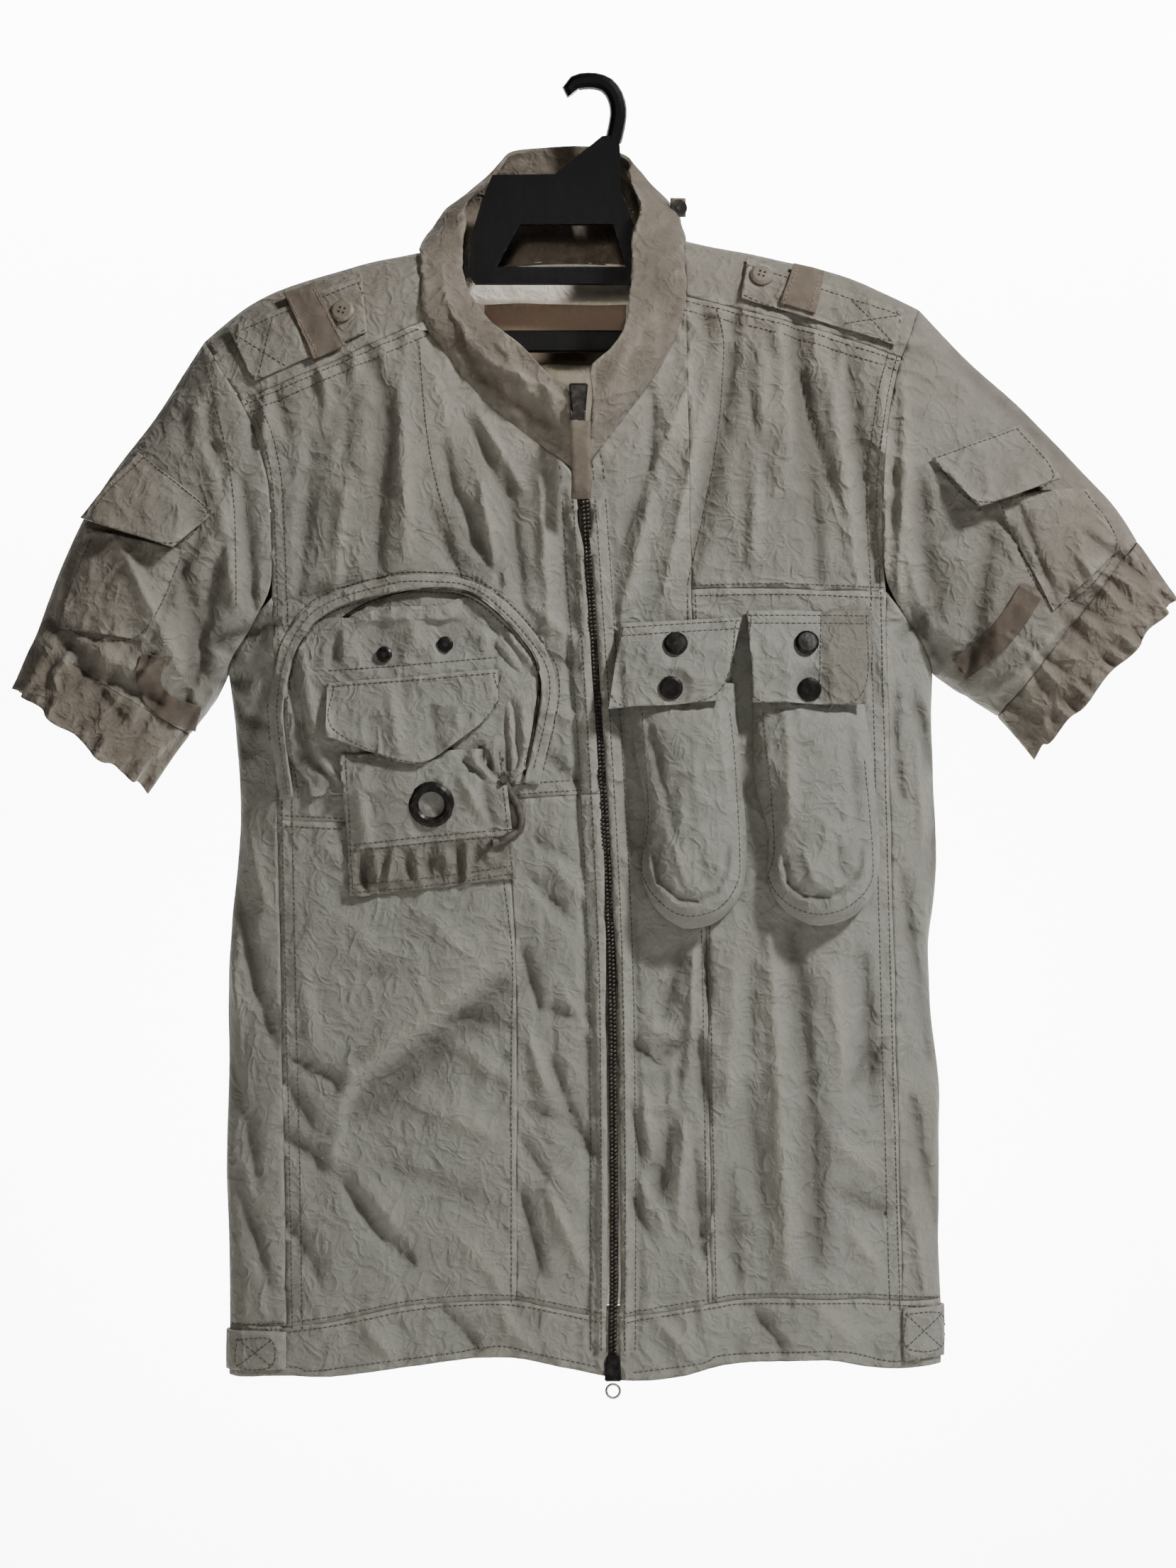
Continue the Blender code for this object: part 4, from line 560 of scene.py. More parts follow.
FRONT_CREASES = (
    # Mouth of the arch pocket
    *folds("""
    -158 -338.5 -144 -331 -128 -326 -105 -322 -82 -323 2.6 -1.8; -79 -415 -82 -430 -70 -439 2.4 -2.4;
    -70 -421 -64.5 -438 -53 -444 2.4 -2.4; -74 -418 -74 -432 -62 -441 2.2 2.2;
    -192 -398 -182 -432 4 -2.2; -190 -376 -180 -404 4 2.2; -188 -424 -176 -446 4 -2.0"""),
    # Left front below the arch pocket
    *folds("""
    -60 -553 -154 -628 9 4.2; -60 -572 -166 -664 13 -5.0; -154 -628 -168 -686 7 2.6;
    -194 -616 -164 -632 5 -2.6; -196 -630 -176 -662 6 -2.6; -198 -664 -169 -686 6 -2.8;
    -164 -561 -128 -564 6 -1.8; -92 -592 -52 -596 5 -2.4; -100 -600 -56 -628 7 2.2;
    -161 -693 -134 -731 6 -2.8; -134 -731 -110 -748 6 -2.4; -150 -690 -120 -728 7 2.2;
    -120 -640 -58 -668 10 2.4; -130 -684 -64 -712 9 -2.4; -90 -722 -58 -762 7 2.4;
    -196 -716 -172 -762 6 -2.4; -186 -560 -176 -606 6 2.2; -110 -526 -76 -552 6 2.0;
    -160 -528 -140 -545 6 1.8"""),
    # Left strip beside the zip
    *folds("""
    -46 -548 -35 -583 5 -2.8; -35 -583 -4 -592 5 -2.6; -19 -576 -5 -598 4 2.6; -27 -617 -16 -650 5 -2.8;
    -16 -650 -2 -678 5 -2.8; -42 -600 -30 -636 5 2.4; -46 -646 -14 -660 5 -2.4;
    -46 -668 -30 -690 4 -2.6; -40 -676 -8 -706 6 2.4; -46 -702 -35 -750 5 -3.0; -30 -700 -8 -748 6 2.6;
    -42 -500 -20 -524 5 -2.6; -28 -492 -6 -516 5 2.4; -44 -474 -10 -494 4 -2.0"""),
    # Left chest
    *folds("""
    -134 -180 -136 -316 7 -3.8; -122 -190 -118 -300 7 2.6; -104 -270 -84 -312 6 -2.8;
    -86 -262 -59 -318 5 -3.6; -72 -255 -62 -315 5 3.2; -56 -240 -44 -330 6 -3.4;
    -150 -200 -164 -320 8 2.8; -178 -230 -186 -322 6 -2.6; -34 -252 -28 -350 5 2.6;
    -20 -262 -12 -352 5 -2.4; -206 -332 -150 -316 5 -2.2; -204 -350 -196 -356 5 2.2;
    -212 -346 -198 -342 5 -2.6; -190 -362 -163 -446 5 -3.2; -180 -350 -160 -450 4 2.8;
    -198 -380 -176 -452 5 2.6; -40 -330 -14 -352 5 2.4; -36 -362 -10 -370 4 -2.0;
    -32 -396 -8 -404 4 2.2; -34 -424 -10 -444 5 -2.6; -100 -185 -88 -250 9 2.2"""),
    # Inside the arch
    *folds("""
    -131 -345 -129 -372 4 -2.6; -118 -340 -112 -362 5 2.0; -70 -345 -56 -376 5 -2.4;
    -64 -352 -46 -372 5 2.8; -62 -396 -58 -436 5 -3.2; -54 -392 -50 -440 5 3.0;
    -76 -420 -64 -436 4 -2.4; -128 -388 -122 -424 6 1.8; -104 -392 -96 -430 6 -1.8;
    -70 -446 -64 -476 4 -2.4; -150 -446 -142 -478 5 1.8; -84 -440 -66 -470 5 2.2"""),
    # Right chest
    *folds("""
    92 -150 60 -318 8 -3.8; 72 -190 44 -320 7 3.0; 108 -150 100 -300 7 2.8; 128 -152 142 -316 8 -4.2;
    146 -158 166 -318 7 3.4; 158 -162 178 -316 6 -3.6; 118 -150 122 -240 7 2.2; 44 -222 14 -300 7 -2.8;
    58 -196 30 -262 8 2.8; 36 -262 16 -340 6 2.6; 182 -180 184 -312 5 3.0"""),
    # Right front below the pouches
    *folds("""
    124 -537 135 -632 10 -4.6; 135 -632 140 -745 11 -4.4; 110 -540 116 -640 9 3.4;
    96 -632 107 -718 8 -3.0; 116 -640 122 -750 9 3.4; 150 -560 158 -640 8 3.0; 170 -556 176 -650 6 -3.2;
    158 -640 182 -612 6 -2.6; 150 -668 180 -690 7 3.0; 152 -700 184 -716 6 -3.0;
    160 -726 182 -752 6 2.6; 88 -560 84 -650 7 2.6; 84 -690 90 -762 7 -2.6; 98 -556 100 -610 6 -2.4"""),
    # Right strip beside the zip
    *folds("""
    55 -542 42 -594 5 -2.8; 69 -542 71 -590 4 -3.4; 62 -548 60 -600 4 2.6; 58 -605 53 -634 4 -2.6;
    66 -603 71 -656 5 -3.2; 23 -606 39 -619 4 -2.8; 39 -619 53 -608 4 -2.6; 34 -596 48 -600 5 2.4;
    47 -662 38 -714 5 -3.0; 56 -658 52 -720 5 2.8; 23 -702 36 -734 5 -2.8; 28 -690 44 -722 5 2.4;
    62 -676 68 -740 5 -2.6; 30 -640 36 -676 5 2.4; 24 -650 30 -680 4 -2.2"""),
    # Hem
    *folds("""
    -150 -780 -126 -808 6 2.2; -96 -774 -72 -802 6 -2.4; -60 -776 -40 -800 6 2.2; 40 -782 62 -806 6 2.4;
    96 -772 120 -802 6 -2.4; 140 -772 168 -800 6 2.2"""),
    # Sleeves
    *folds("""
    -300 -290 -252 -392 8 3.6; -232 -290 -262 -396 8 -4.0; -346 -340 -300 -402 7 -3.4;
    -240 -240 -226 -330 8 3.4; -262 -300 -246 -372 7 -3.2; -222 -250 -214 -340 6 -3.4;
    -244 -356 -212 -346 5 -2.6; -244 -379 -219 -378 5 -2.6; -320 -360 -282 -372 6 3.0;
    -310 -376 -276 -392 6 -3.0; 252 -276 236 -376 8 -3.8; 300 -340 256 -384 7 3.6;
    334 -300 282 -366 7 -3.4; 226 -170 300 -240 8 -2.4; 196 -190 192 -320 5 3.4;
    210 -336 192 -352 5 -3.0"""),
    # Under the yokes and the collar
    *folds("""
    38 -200 35 -245 4 -3.2; 98 -200 108 -262 7 -3.4; 127 -176 150 -262 6 -3.0; -96 -218 -88 -262 6 -3.2;
    -129 -177 -129 -262 6 -2.4; -149 -186 -158 -256 6 -2.4; -80 -214 -56 -262 5 -3.0;
    -72 -212 -46 -258 4 2.8"""),
    # Bottoms of the pouches and of the patch pocket
    *folds("""
    37 -486 40 -504 52 -515 64 -517 76 -511 83 -498 84 -484 2.0 -2.0;
    118 -488 121 -505 132 -514 146 -515 158 -510 167 -497 168 -484 2.0 -2.0; 48 -480 56 -504 4 1.8;
    66 -486 70 -508 4 -1.8; 130 -486 138 -506 4 1.8; 152 -480 156 -504 4 -1.8; 34 -404 48 -470 5 -2.0;
    120 -402 122 -466 5 2.2; 160 -404 166 -466 5 -2.2; 78 -400 84 -452 5 1.8"""),
    *gathers((-151, -489), (-54, -480), 13, (0, -15), 3.0, 2.2),
    *gathers((-164, -371), (-64, -365), 9, (0, 12), 3.4, 1.6),
    # Folded edges beside the zip
    *folds("""
    3.5 -800 3.5 -661 0.2 -508 -14.3 -268 2.2 1.3; -4 -800 -4 -661 -7.5 -508 -22 -268 2.2 -1.3;
    20.5 -800 20.5 -661 17 -508 2 -268 2.2 1.3; 28 -800 28 -661 24.5 -508 9.5 -268 2.2 -1.3"""),
    *gathers((-352, -372), (-270, -430), 11, (20, 29), 4.0, 1.7),
    *gathers((-358, -381), (-278, -440), 15, (-6, -9), 2.8, 1.5),
    *gathers((356, -310), (270, -404), 13, (-25, 22), 4.0, 1.7),
    *gathers((362, -318), (276, -412), 17, (8, -7), 2.8, 1.5),
    # Side panels and the hollows in front of the sleeves
    *folds("""
    -227 -509 -216 -572 5 -2.8; -216 -572 -202 -610 5 -2.6; -235 -523 -224 -605 4 2.4;
    -230 -620 -212 -700 5 -2.2; -220 -470 -208 -520 5 2.2; -226 -700 -206 -760 5 -2.4;
    -236 -640 -232 -720 4 2.0; -208 -380 -226 -450 5 -2.2; 203 -383 219 -450 5 -2.8;
    219 -450 214 -502 5 -2.6; 196 -503 213 -618 5 -2.6; 210 -520 222 -600 4 2.4;
    201 -643 217 -723 5 -2.8; 216 -640 224 -700 4 2.2; 200 -700 210 -764 5 2.2; 206 -420 208 -480 4 2.2;
    191 -196 188.5 -246 187 -288 6.0 -2.6; 205 -248 209 -298 218 -340 9.0 -3.2;
    197 -246 198 -300 206 -330 4.0 1.6; 267 -266 279 -298 295 -333 3.4 -2.2;
    252 -271 270 -295 276 -306 2.6 -1.8; 239 -276 266 -309 2.6 -1.4;
    201 -333 210 -350 220 -366 3.6 -2.8; 191.5 -379 190 -410 195 -453 3.6 -2.4;
    201 -390 210 -409 208 -440 3.4 -1.8; 300 -318 304 -330 3 -1.6; 305 -243 308 -253 3 -1.4;
    174 -369 180 -394 4 -1.6; 250 -350 230 -372 6 -2.0;
    -244 -197 -244 -221 -235.5 -246 -237 -269 3.6 -2.4; -252 -200 -252 -224 -244 -246 4.0 1.4;
    -250 -289 -266.5 -318 -280 -353 3.4 -2.2; -350 -339.5 -332 -346 -312.5 -352.5 3.2 -1.6;
    -340.5 -353 -304.5 -366 3.2 -1.6; -326 -369 -307.5 -377 3.0 -1.6;
    -243.5 -356 -228 -349 -212.5 -345.5 3.0 -1.8; -238.5 -357.5 -224 -362.5 3.0 -1.6;
    -258.5 -390.5 -247 -362.5 6.0 -2.4; -235.5 -378 -220.5 -378 2.8 -1.8;
    -229 -387 -224 -400 -207.5 -408.5 3.2 -2.2; -224 -410 -222 -427 3.2 -1.8;
    -296 -305 -309 -318 3 -1.2; -260 -201 -260 -234 5 -1.2"""),
    *gathers((-222, -203), (-112, -155), 12, (2, -20), 4.0, 1.6),
    *gathers((62, -138), (192, -174), 13, (0, -20), 4.0, 1.6),
)

BACK_CREASES = (
    *folds("""
    -120 -180 -150 -420 14 -3.0; -90 -180 -100 -500 12 2.6; -30 -160 -34 -620 16 -2.6;
    40 -170 46 -560 13 2.6; 100 -190 126 -480 12 -3.0; 150 -240 160 -600 12 2.4;
    -170 -420 -110 -640 14 2.6; 110 -520 30 -740 14 -2.4; -60 -560 -120 -770 12 -2.2;
    0 -600 20 -780 12 2.2"""),
)

COLLAR_CREASES = (
    *folds("""
    -96 -112 -87 -148 -68 -176 -44 -189 -20 -204 5.0 3.6; -94 -150 -76 -186 -48 -206 -22 -222 6.0 -3.4;
    -100 -60 -104 -104 -98 -140 5.0 -3.2; 49 -86 52 -112 57 -132 48 -156 2.6 -3.0;
    38 -108 42 -134 5 -2.2; 20 -160 2 -196 5 -2.6; 34 -150 12 -186 6 2.8; -58 -168 -34 -206 4 2.2;
    -80 -150 -60 -200 4 -2.2; 34 -60 36 -96 5 2.0; 6 -176 -6 -214 4 -2.4; -30 -196 -20 -226 4 2.2"""),
)


def crease_height(points: np.ndarray) -> np.ndarray:
    """Height of all creases at some points, all in mm."""
    x, _, z = points.T
    heights = []
    for table in (FRONT_CREASES, BACK_CREASES):
        total = np.zeros(len(points))
        for crease in table:
            edge = 3 * crease.width
            if (min(crease.x0, crease.x1) < x.max() + edge
                    and max(crease.x0, crease.x1) > x.min() - edge
                    and min(crease.z0, crease.z1) < z.max() + edge
                    and max(crease.z0, crease.z1) > z.min() - edge):
                total += crease.at(x, z)
        heights.append(total)
    return np.where(points[:, 1] < 0, *heights)


ZIP_LINE: Line = ((11.8, -802), (11.8, -661), (8.6, -508), (-6.3, -266), (-9.0, -246),
                  (-10.4, -212))
PINS: Line = ((-132.0, -362.0), (-93.6, -355.7), (-102.2, -456.1), (51.0, -355.7),
              (47.9, -383.3), (133.3, -354.8), (134.7, -384.2), (-159.0, -145.0),
              (106.0, -122.0))
NECK = (-31.0, -16.0, 0.0)
CREASE_SHARE, RIDGE_HEIGHT, SWELL_HEIGHT, LIP_HEIGHT = 1.75, 1.1, 0.7, 1.3


def calmness(points: np.ndarray) -> np.ndarray:
    """How free the cloth is to crease: 0 at snaps, eyelet, buttons and back neck, 1 elsewhere."""
    free = np.ones(len(points))
    for x, z in PINS:
        free *= blend(7.0, 15.0, np.hypot(points[:, 0] - x, points[:, 2] - z))
    neck = blend(-138.0, -120.0, points[:, 2]) * blend(100.0, 80.0, np.abs(points[:, 0] + 31))
    return np.where(points[:, 1] < 0, free, 1.0 - neck)


def zip_cover(points: np.ndarray) -> np.ndarray:
    """How far the folded edges reach over the zip's tape, in mm along X."""
    places, heights = zip(*ZIP_LINE)
    away = points[:, 0] - np.interp(points[:, 2], heights, places)
    amount = 1.0 + 2.2 * blend(-600.0, -500.0, points[:, 2])
    amount *= blend(-262.0, -290.0, points[:, 2]) * (points[:, 1] < 0) * (np.abs(away) > 4.6)
    return -np.sign(away) * amount * np.exp(-(np.maximum(np.abs(away) - 5.0, 0.0) / 6.0) ** 2)


def ridges(points: np.ndarray, length: float, seed: float) -> np.ndarray:
    """Sharp-topped random folds at some points, from -1 to 1, over a length in mm."""
    warped = points + 0.35 * length * np.stack(
        [wander(points, length * 1.7, seed + n) for n in (1.0, 2.0, 3.0)], axis=1)
    return 1.0 - 2.0 * np.abs(wander(warped, length, seed)) ** 0.8


def coordinates(data: bpy.types.Mesh) -> np.ndarray:
    """Points of a mesh in mm, one a row."""
    flat = np.empty(len(data.vertices) * 3)
    data.vertices.foreach_get("co", flat)
    return flat.reshape(-1, 3) / MM


@dataclass
class Panel:
    """One cut piece of cloth, made finer and creased from its solid.

    Sizes are in mm: flat is the width and length it was cut to, and area its flat area. Puff is
    how far it bulges, gape a hinge line and how far the far edge stands off, and other_side a
    line with another finish to its right.
    """

    node: str
    flat: Place
    area: float
    fabric: Fabric = COTTON
    level: int = 3
    part: Part = Part.BODY
    held: Held = Held.HUNG
    rests_on: tuple[str, ...] = ()
    pucker: float = 1.5
    body: str = "shirt"
    lined: bool = False
    puff: float = 0.0
    puff_below: float = 0.0
    gape: tuple[float, ...] = ()
    spread: float = 0.0
    other_side: tuple[float, ...] = ()

    def stuffing(self, points: np.ndarray, from_edge: np.ndarray) -> np.ndarray:
        """How far the cloth bulges and its free edge stands off, in mm.

        Args:
            points: The cloth's points at rest.
            from_edge: Their distances from the nearest cut edge.

        Returns:
            One height for each point.
        """
        height = self.puff * np.sqrt(blend(0.0, 22.0, from_edge))
        if self.puff_below:
            height *= blend(self.puff_below, self.puff_below - 16.0, points[:, 2])
        if self.gape:
            x0, z0, x1, z1, lift = self.gape
            away = (points[:, 0] - x0) * (z1 - z0) - (points[:, 2] - z0) * (x1 - x0)
            height += lift * blend(2.0, 36.0, np.abs(away) / math.hypot(x1 - x0, z1 - z0))
        return height

    def widen(self, points: np.ndarray) -> np.ndarray:
        """Moves of an arch's upper edge towards the band round it, in mm."""
        away = points - (points.min(axis=0) * 0.5 + points.max(axis=0) * 0.5)
        away[:, 1] = 0.0
        far = np.linalg.norm(away, axis=1)
        far[far == 0] = 1.0
        reach = self.spread * blend(18.0, 46.0, far) * blend(-445.0, -420.0, points[:, 2])
        mouth = blend(-168.0, -150.0, points[:, 0]) * blend(-78.0, -98.0, points[:, 0])
        reach *= 1.0 - mouth * blend(-352.0, -338.0, points[:, 2])
        moved = away / far[:, None] * reach[:, None]
        moved[:, 1] += 0.25 * np.abs(reach)
        return moved

    def two_sides(self, thing: bpy.types.Object) -> None:
        """Gives the wrong side of the cloth, or what is right of a line, its own finish."""
        dress(thing, LINER if self.lined else GATHERED)
        x0, z0, x1, z1 = self.other_side or (0, 0, 0, 0)
        for face in thing.data.polygons:
            x, y, z = (part / MM for part in face.center)
            right = (x - x0) * (z1 - z0) - (z - z0) * (x1 - x0) > 0
            face.material_index = int(y * face.normal.y < 0 if self.lined else right)

    def cage(self) -> bmesh.types.BMesh:
        """Returns the solid's own faces as quads, merged from its loose triangles."""
        mesh = bmesh.new()
        mesh.from_mesh(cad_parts[self.node].data)
        bmesh.ops.remove_doubles(mesh, verts=mesh.verts, dist=0.01 * MM)
        bmesh.ops.join_triangles(
            mesh, faces=mesh.faces, angle_face_threshold=math.radians(60),
            angle_shape_threshold=math.pi, topology_influence=1.0)
        mesh.normal_update()
        return mesh

    @staticmethod
    def rim(mesh: bmesh.types.BMesh, thickest: float = 3.3) -> list[Vector]:
        """Creases the cut edge of the wall.

        Args:
            mesh: The quads of the wall.
            thickest: Edges under this many mm run across the wall.

        Returns:
            Points along the cut edge, 2 mm apart.
        """
        layers = mesh.edges.layers.float
        layer = layers.get("crease_edge") or layers.new("crease_edge")
        across = {edge for edge in mesh.edges if edge.calc_length() < thickest * MM}
        edge_faces = {face for face in mesh.faces
                      if sum(edge in across for edge in face.edges) >= 2}
        points = []
        for edge in mesh.edges:
            rims = sum(face in edge_faces for face in edge.link_faces)
            if edge in across:
                if any(len(v.link_edges) == 3 for v in edge.verts):
                    edge[layer] = 1.0
            elif rims == 1:
                edge[layer] = 1.0
                a, b = (v.co for v in edge.verts)
                steps = max(1, int((b - a).length / (2 * MM)))
                points += [a.lerp(b, n / steps) for n in range(steps)]
        return points

    def push(self, points: np.ndarray, from_edge: np.ndarray,
             edge_points: np.ndarray) -> tuple[np.ndarray, np.ndarray]:
        """How far and which way the creases move the cloth. All sizes are in mm.

        Args:
            points: The cloth's points at rest.
            from_edge: Their distances from the nearest seam.
            edge_points: The nearest points of that seam.

        Returns:
            One move for each point, and how deep its fold is, from -1 to 1.
        """
        drift = np.stack([wander(points, 24, seed) for seed in (3.1, 8.4, 5.2)], axis=1) * 0.8
        ripple = wander(edge_points, 5.0, 2.0) * np.exp(-from_edge / 10.0) * self.pucker
        if self.part is Part.COLLAR:
            return self.push_collar(points, from_edge, drift, ripple)
        calm = calmness(points)
        if self.part is Part.TRIM:
            height = 0.4 * wander(points, 7, 1.0)
        else:
            height = (CREASE_SHARE * crease_height(points)
                      + RIDGE_HEIGHT * ridges(points, 19, 1.0)
                      + SWELL_HEIGHT * wander(points * np.array((1.8, 1.0, 0.7)), 9, 4.0))
            if self.part is Part.CUFF:
                drift = drift * 1.5
            drift[:, 0] += zip_cover(points)
        fold = np.clip((height + 0.8 * ripple) / 4.6, -1, 1) * np.maximum(calm, 0.3)
        if self.part is not Part.TRIM:
            height = (height + self.stuffing(points, from_edge)) * calm
            height += LIP_HEIGHT * (np.abs(zip_cover(points)) > 0.4)
        if self.spread:
            drift = drift + self.widen(points)
        side = np.sign(points[:, 1]) * blend(0.0, 14.0, np.abs(points[:, 1]))
        drift[:, 1] += side * (height + ripple * calm)
        return drift, fold

    @staticmethod
    def push_collar(points: np.ndarray, from_edge: np.ndarray, drift: np.ndarray,
                    ripple: np.ndarray) -> tuple[np.ndarray, np.ndarray]:
        """Moves of the collar, away from the neck. All sizes are in mm.

        Args:
            points: The cloth's points at rest.
            from_edge: Their distances from the nearest seam.
            drift: Their slow random moves.
            ripple: Heights of their puckers.

        Returns:
            One move for each point, and how deep its fold is, from -1 to 1.
        """
        out = points - np.array(NECK)
        out[:, 2] = 0.0
        out /= np.linalg.norm(out, axis=1)[:, None]
        soft = 1.8 * wander(points * np.array((1.5, 1.5, 0.6)), 11, 6.0)
        soft = (soft + 0.8 * ridges(points, 13, 2.0)) * blend(0.0, 12.0, from_edge)
        front = sum(crease.at(points[:, 0], points[:, 2]) for crease in COLLAR_CREASES)
        soft += front * blend(0.0, 10.0, -out[:, 1] * 20) * blend(0.0, 5.0, from_edge)
        wide = 7.5 * np.exp(-((points[:, 2] + 76) / 14) ** 2) * blend(0.1, 0.8, out[:, 0])
        wide += 9.0 * np.exp(-((points[:, 2] + 72) / 15) ** 2) * blend(-0.1, -0.8, out[:, 0])
        drift[:, 2] -= 5.0 * (points[:, 1] > 5) * blend(-101.0, -105.5, points[:, 2])
        return out * (ripple + soft + wide)[:, None] + drift * 0.5, np.clip(soft / 3.5, -1, 1)

    @staticmethod
    def fill_out(thing: bpy.types.Object) -> None:
        """Moves the coarse points, so that the rounded wall passes through their old places."""
        homes = [vertex.co.copy() for vertex in thing.data.vertices]
        for _ in range(3):
            rounded = evaluated(thing).data.vertices
            steps = [home - now.co for home, now in zip(homes, rounded)]
            for vertex, step in zip(thing.data.vertices, steps):
                vertex.co += step
            thing.data.update()

    def build(self) -> bpy.types.Object:
        """Makes the creased wall, dresses it and puts it in the solid's place.

        Returns:
            The finished piece.
        """
        mesh = self.cage()
        rim = self.rim(mesh)
        thing = add_mesh(self.node + "_cloth", mesh)
        finer = thing.modifiers.new("finer", "SUBSURF")
        finer.levels = finer.render_levels = self.level
        finer.boundary_smooth = "PRESERVE_CORNERS"
        if self.part is Part.COLLAR:
            self.fill_out(thing)
        data = settle(thing)
        tree = KDTree(len(rim))
        for n, point in enumerate(rim):
            tree.insert(point, n)
        tree.balance()
        found = [tree.find(vertex.co) for vertex in data.vertices]
        nearest = np.array([tuple(spot[0]) for spot in found]) / MM
        from_edge = np.array([spot[2] for spot in found]) / MM
        points = coordinates(data)
        moves, fold = self.push(points, from_edge, nearest)
        data.vertices.foreach_set("co", ((points + moves) * MM).ravel())
        # The fold attribute also drives the painted shade in the crease valleys and the painted
        # highlight on the ridges.
        for name, values in (("seam", np.exp(-(from_edge / 5.0) ** 2)), ("fold", fold)):
            data.attributes.new(name, "FLOAT", "POINT").data.foreach_set("value", values)
        smooth(data, 50.0)
        place_piece(thing, self.fabric, self.body)
        if self.lined or self.other_side:
            self.two_sides(thing)
        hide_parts(self.node)
        width, length = self.flat
        list(self.rests_on)
        LOG.info("%s: %d faces", thing.name, len(data.polygons))
        return thing


HANGER = ("hanger_arm_left", "hanger_arm_right")
PANELS = (
    Panel("front_left_chest", (226, 318), 55500),
    Panel("front_left_lower", (152, 334), 48200),
    Panel("front_left_strip", (65, 331), 19300),
    Panel("front_right_chest", (138, 188), 22400),
    Panel("front_right_lower", (135, 452), 56800),
    Panel("front_right_strip", (82, 646), 35200),
    Panel("side_left", (92, 463), 39600),
    Panel("side_right", (80, 450), 32900),
    Panel("back", (446, 690), 256000, lined=True),
    Panel("yoke_left", (160, 136), 17600, rests_on=HANGER, lined=True),
    Panel("yoke_right", (160, 122), 15000, rests_on=HANGER, lined=True),
    Panel("hem_left", (260, 56), 11300, pucker=1.8),
    Panel("hem_right", (250, 56), 11100, pucker=1.8),
    Panel("hem_back", (396, 52), 16200, pucker=1.8),
    Panel("sleeve_left", (286, 264), 52500),
    Panel("sleeve_right", (290, 272), 55800),
    Panel("cuff_left", (280, 52), 12000, CUFF_COTTON, 3, Part.CUFF, Held.GATHERED),
    Panel("cuff_right", (300, 60), 14000, CUFF_COTTON, 3, Part.CUFF, Held.GATHERED),
    Panel("collar", (330, 108), 28000, COLLAR_COTTON, part=Part.COLLAR, pucker=0.8),
    Panel("arch_band", (420, 11), 4450, level=2, pucker=0.3),
    Panel("arch_panel", (150, 124), 15500, puff=2.6, spread=9.0),
    Panel("patch_pocket", (112, 96), 9600, puff=2.0, other_side=(-150, -484, -54, -475)),
    Panel("arch_flap", (112, 62), 5100, pucker=0.4, gape=(-164, -382, -63, -374, 3.0)),
    Panel("pouch_left", (92, 164), 12200, puff=6.0, puff_below=-394.0),
    Panel("pouch_right", (102, 166), 13700, puff=6.0, puff_below=-394.0),
    Panel("pouch_flap_left", (84, 60), 4300, pucker=0.5, gape=(18, -345, 90, -341, 2.5)),
    Panel("pouch_flap_right", (86, 62), 5000, pucker=0.5, gape=(98, -338, 172, -338, 2.5),
          other_side=(142, -392, 142, -330)),
    Panel("epaulette_left", (92, 40), 3600, pucker=0.4),
    Panel("epaulette_right", (96, 34), 3050, pucker=0.4),
    Panel("epaulette_loop_left", (24, 52), 1200, TWILL, 3, pucker=0.2),
    Panel("epaulette_loop_right", (24, 38), 850, TWILL, 3, pucker=0.2),
    Panel("sleeve_pocket_left", (72, 66), 4300),
    Panel("sleeve_pocket_right", (70, 68), 4050),
    Panel("sleeve_flap_left", (74, 46), 3150, pucker=0.4,
          gape=(-286, -237, -243, -271, 6.0)),
    Panel("sleeve_flap_right", (68, 44), 2750, pucker=0.4,
          gape=(215, -239, 268, -219, 6.0)),
    Panel("sleeve_strap_left", (16, 72), 1150, STRAP_TWILL, pucker=0.3),
    Panel("sleeve_strap_right", (16, 76), 1210, STRAP_TWILL, pucker=0.3),
    Panel("collar_tab", (12, 12), 130, TWILL, 2, Part.TRIM, pucker=0.0),
    Panel("hem_tab_left", (62, 28), 1690, level=2, pucker=0.2),
    Panel("hem_tab_right", (62, 28), 1640, level=2, pucker=0.2),
    Panel("neck_label", (92, 40), 3660, LABEL, 2, Part.TRIM, pucker=0.0),
    Panel("zip_chain", (10, 612), 4700, TAPE, 2, held=Held.STRETCHED, pucker=0.0),
)


class Cloth:
    """The finished cloth, which sewing and trim are laid on."""

    def __init__(self, pieces: Sequence[bpy.types.Object]) -> None:
        """Keeps a search tree of some pieces.

        Args:
            pieces: Finished pieces, whose outsides are searched.
        """
        points, faces = [], []
        for piece in pieces:
            start = len(points)
            points += [tuple(v.co) for v in piece.data.vertices]
            faces += [tuple(start + n for n in p.vertices) for p in piece.data.polygons]
        self.tree = BVHTree.FromPolygons(points, faces)

    def at(self, x: float, z: float, view: View = View.FRONT) -> tuple[Vector, Vector] | None:
        """Point and normal of the cloth behind a place seen from the front.

        Args:
            x: Distance across, in mm.
            z: Height, in mm.
            view: The side it is seen from.

        Returns:
            The point in metres and its normal, or None where there is no cloth.
        """
        start = Vector((x * MM, -view.value * 0.4, z * MM))
        hit, normal, _, _ = self.tree.ray_cast(start, Vector((0.0, view.value, 0.0)))
        if hit is None:
            return None
        return hit, normal if normal.y * view.value < 0 else -normal


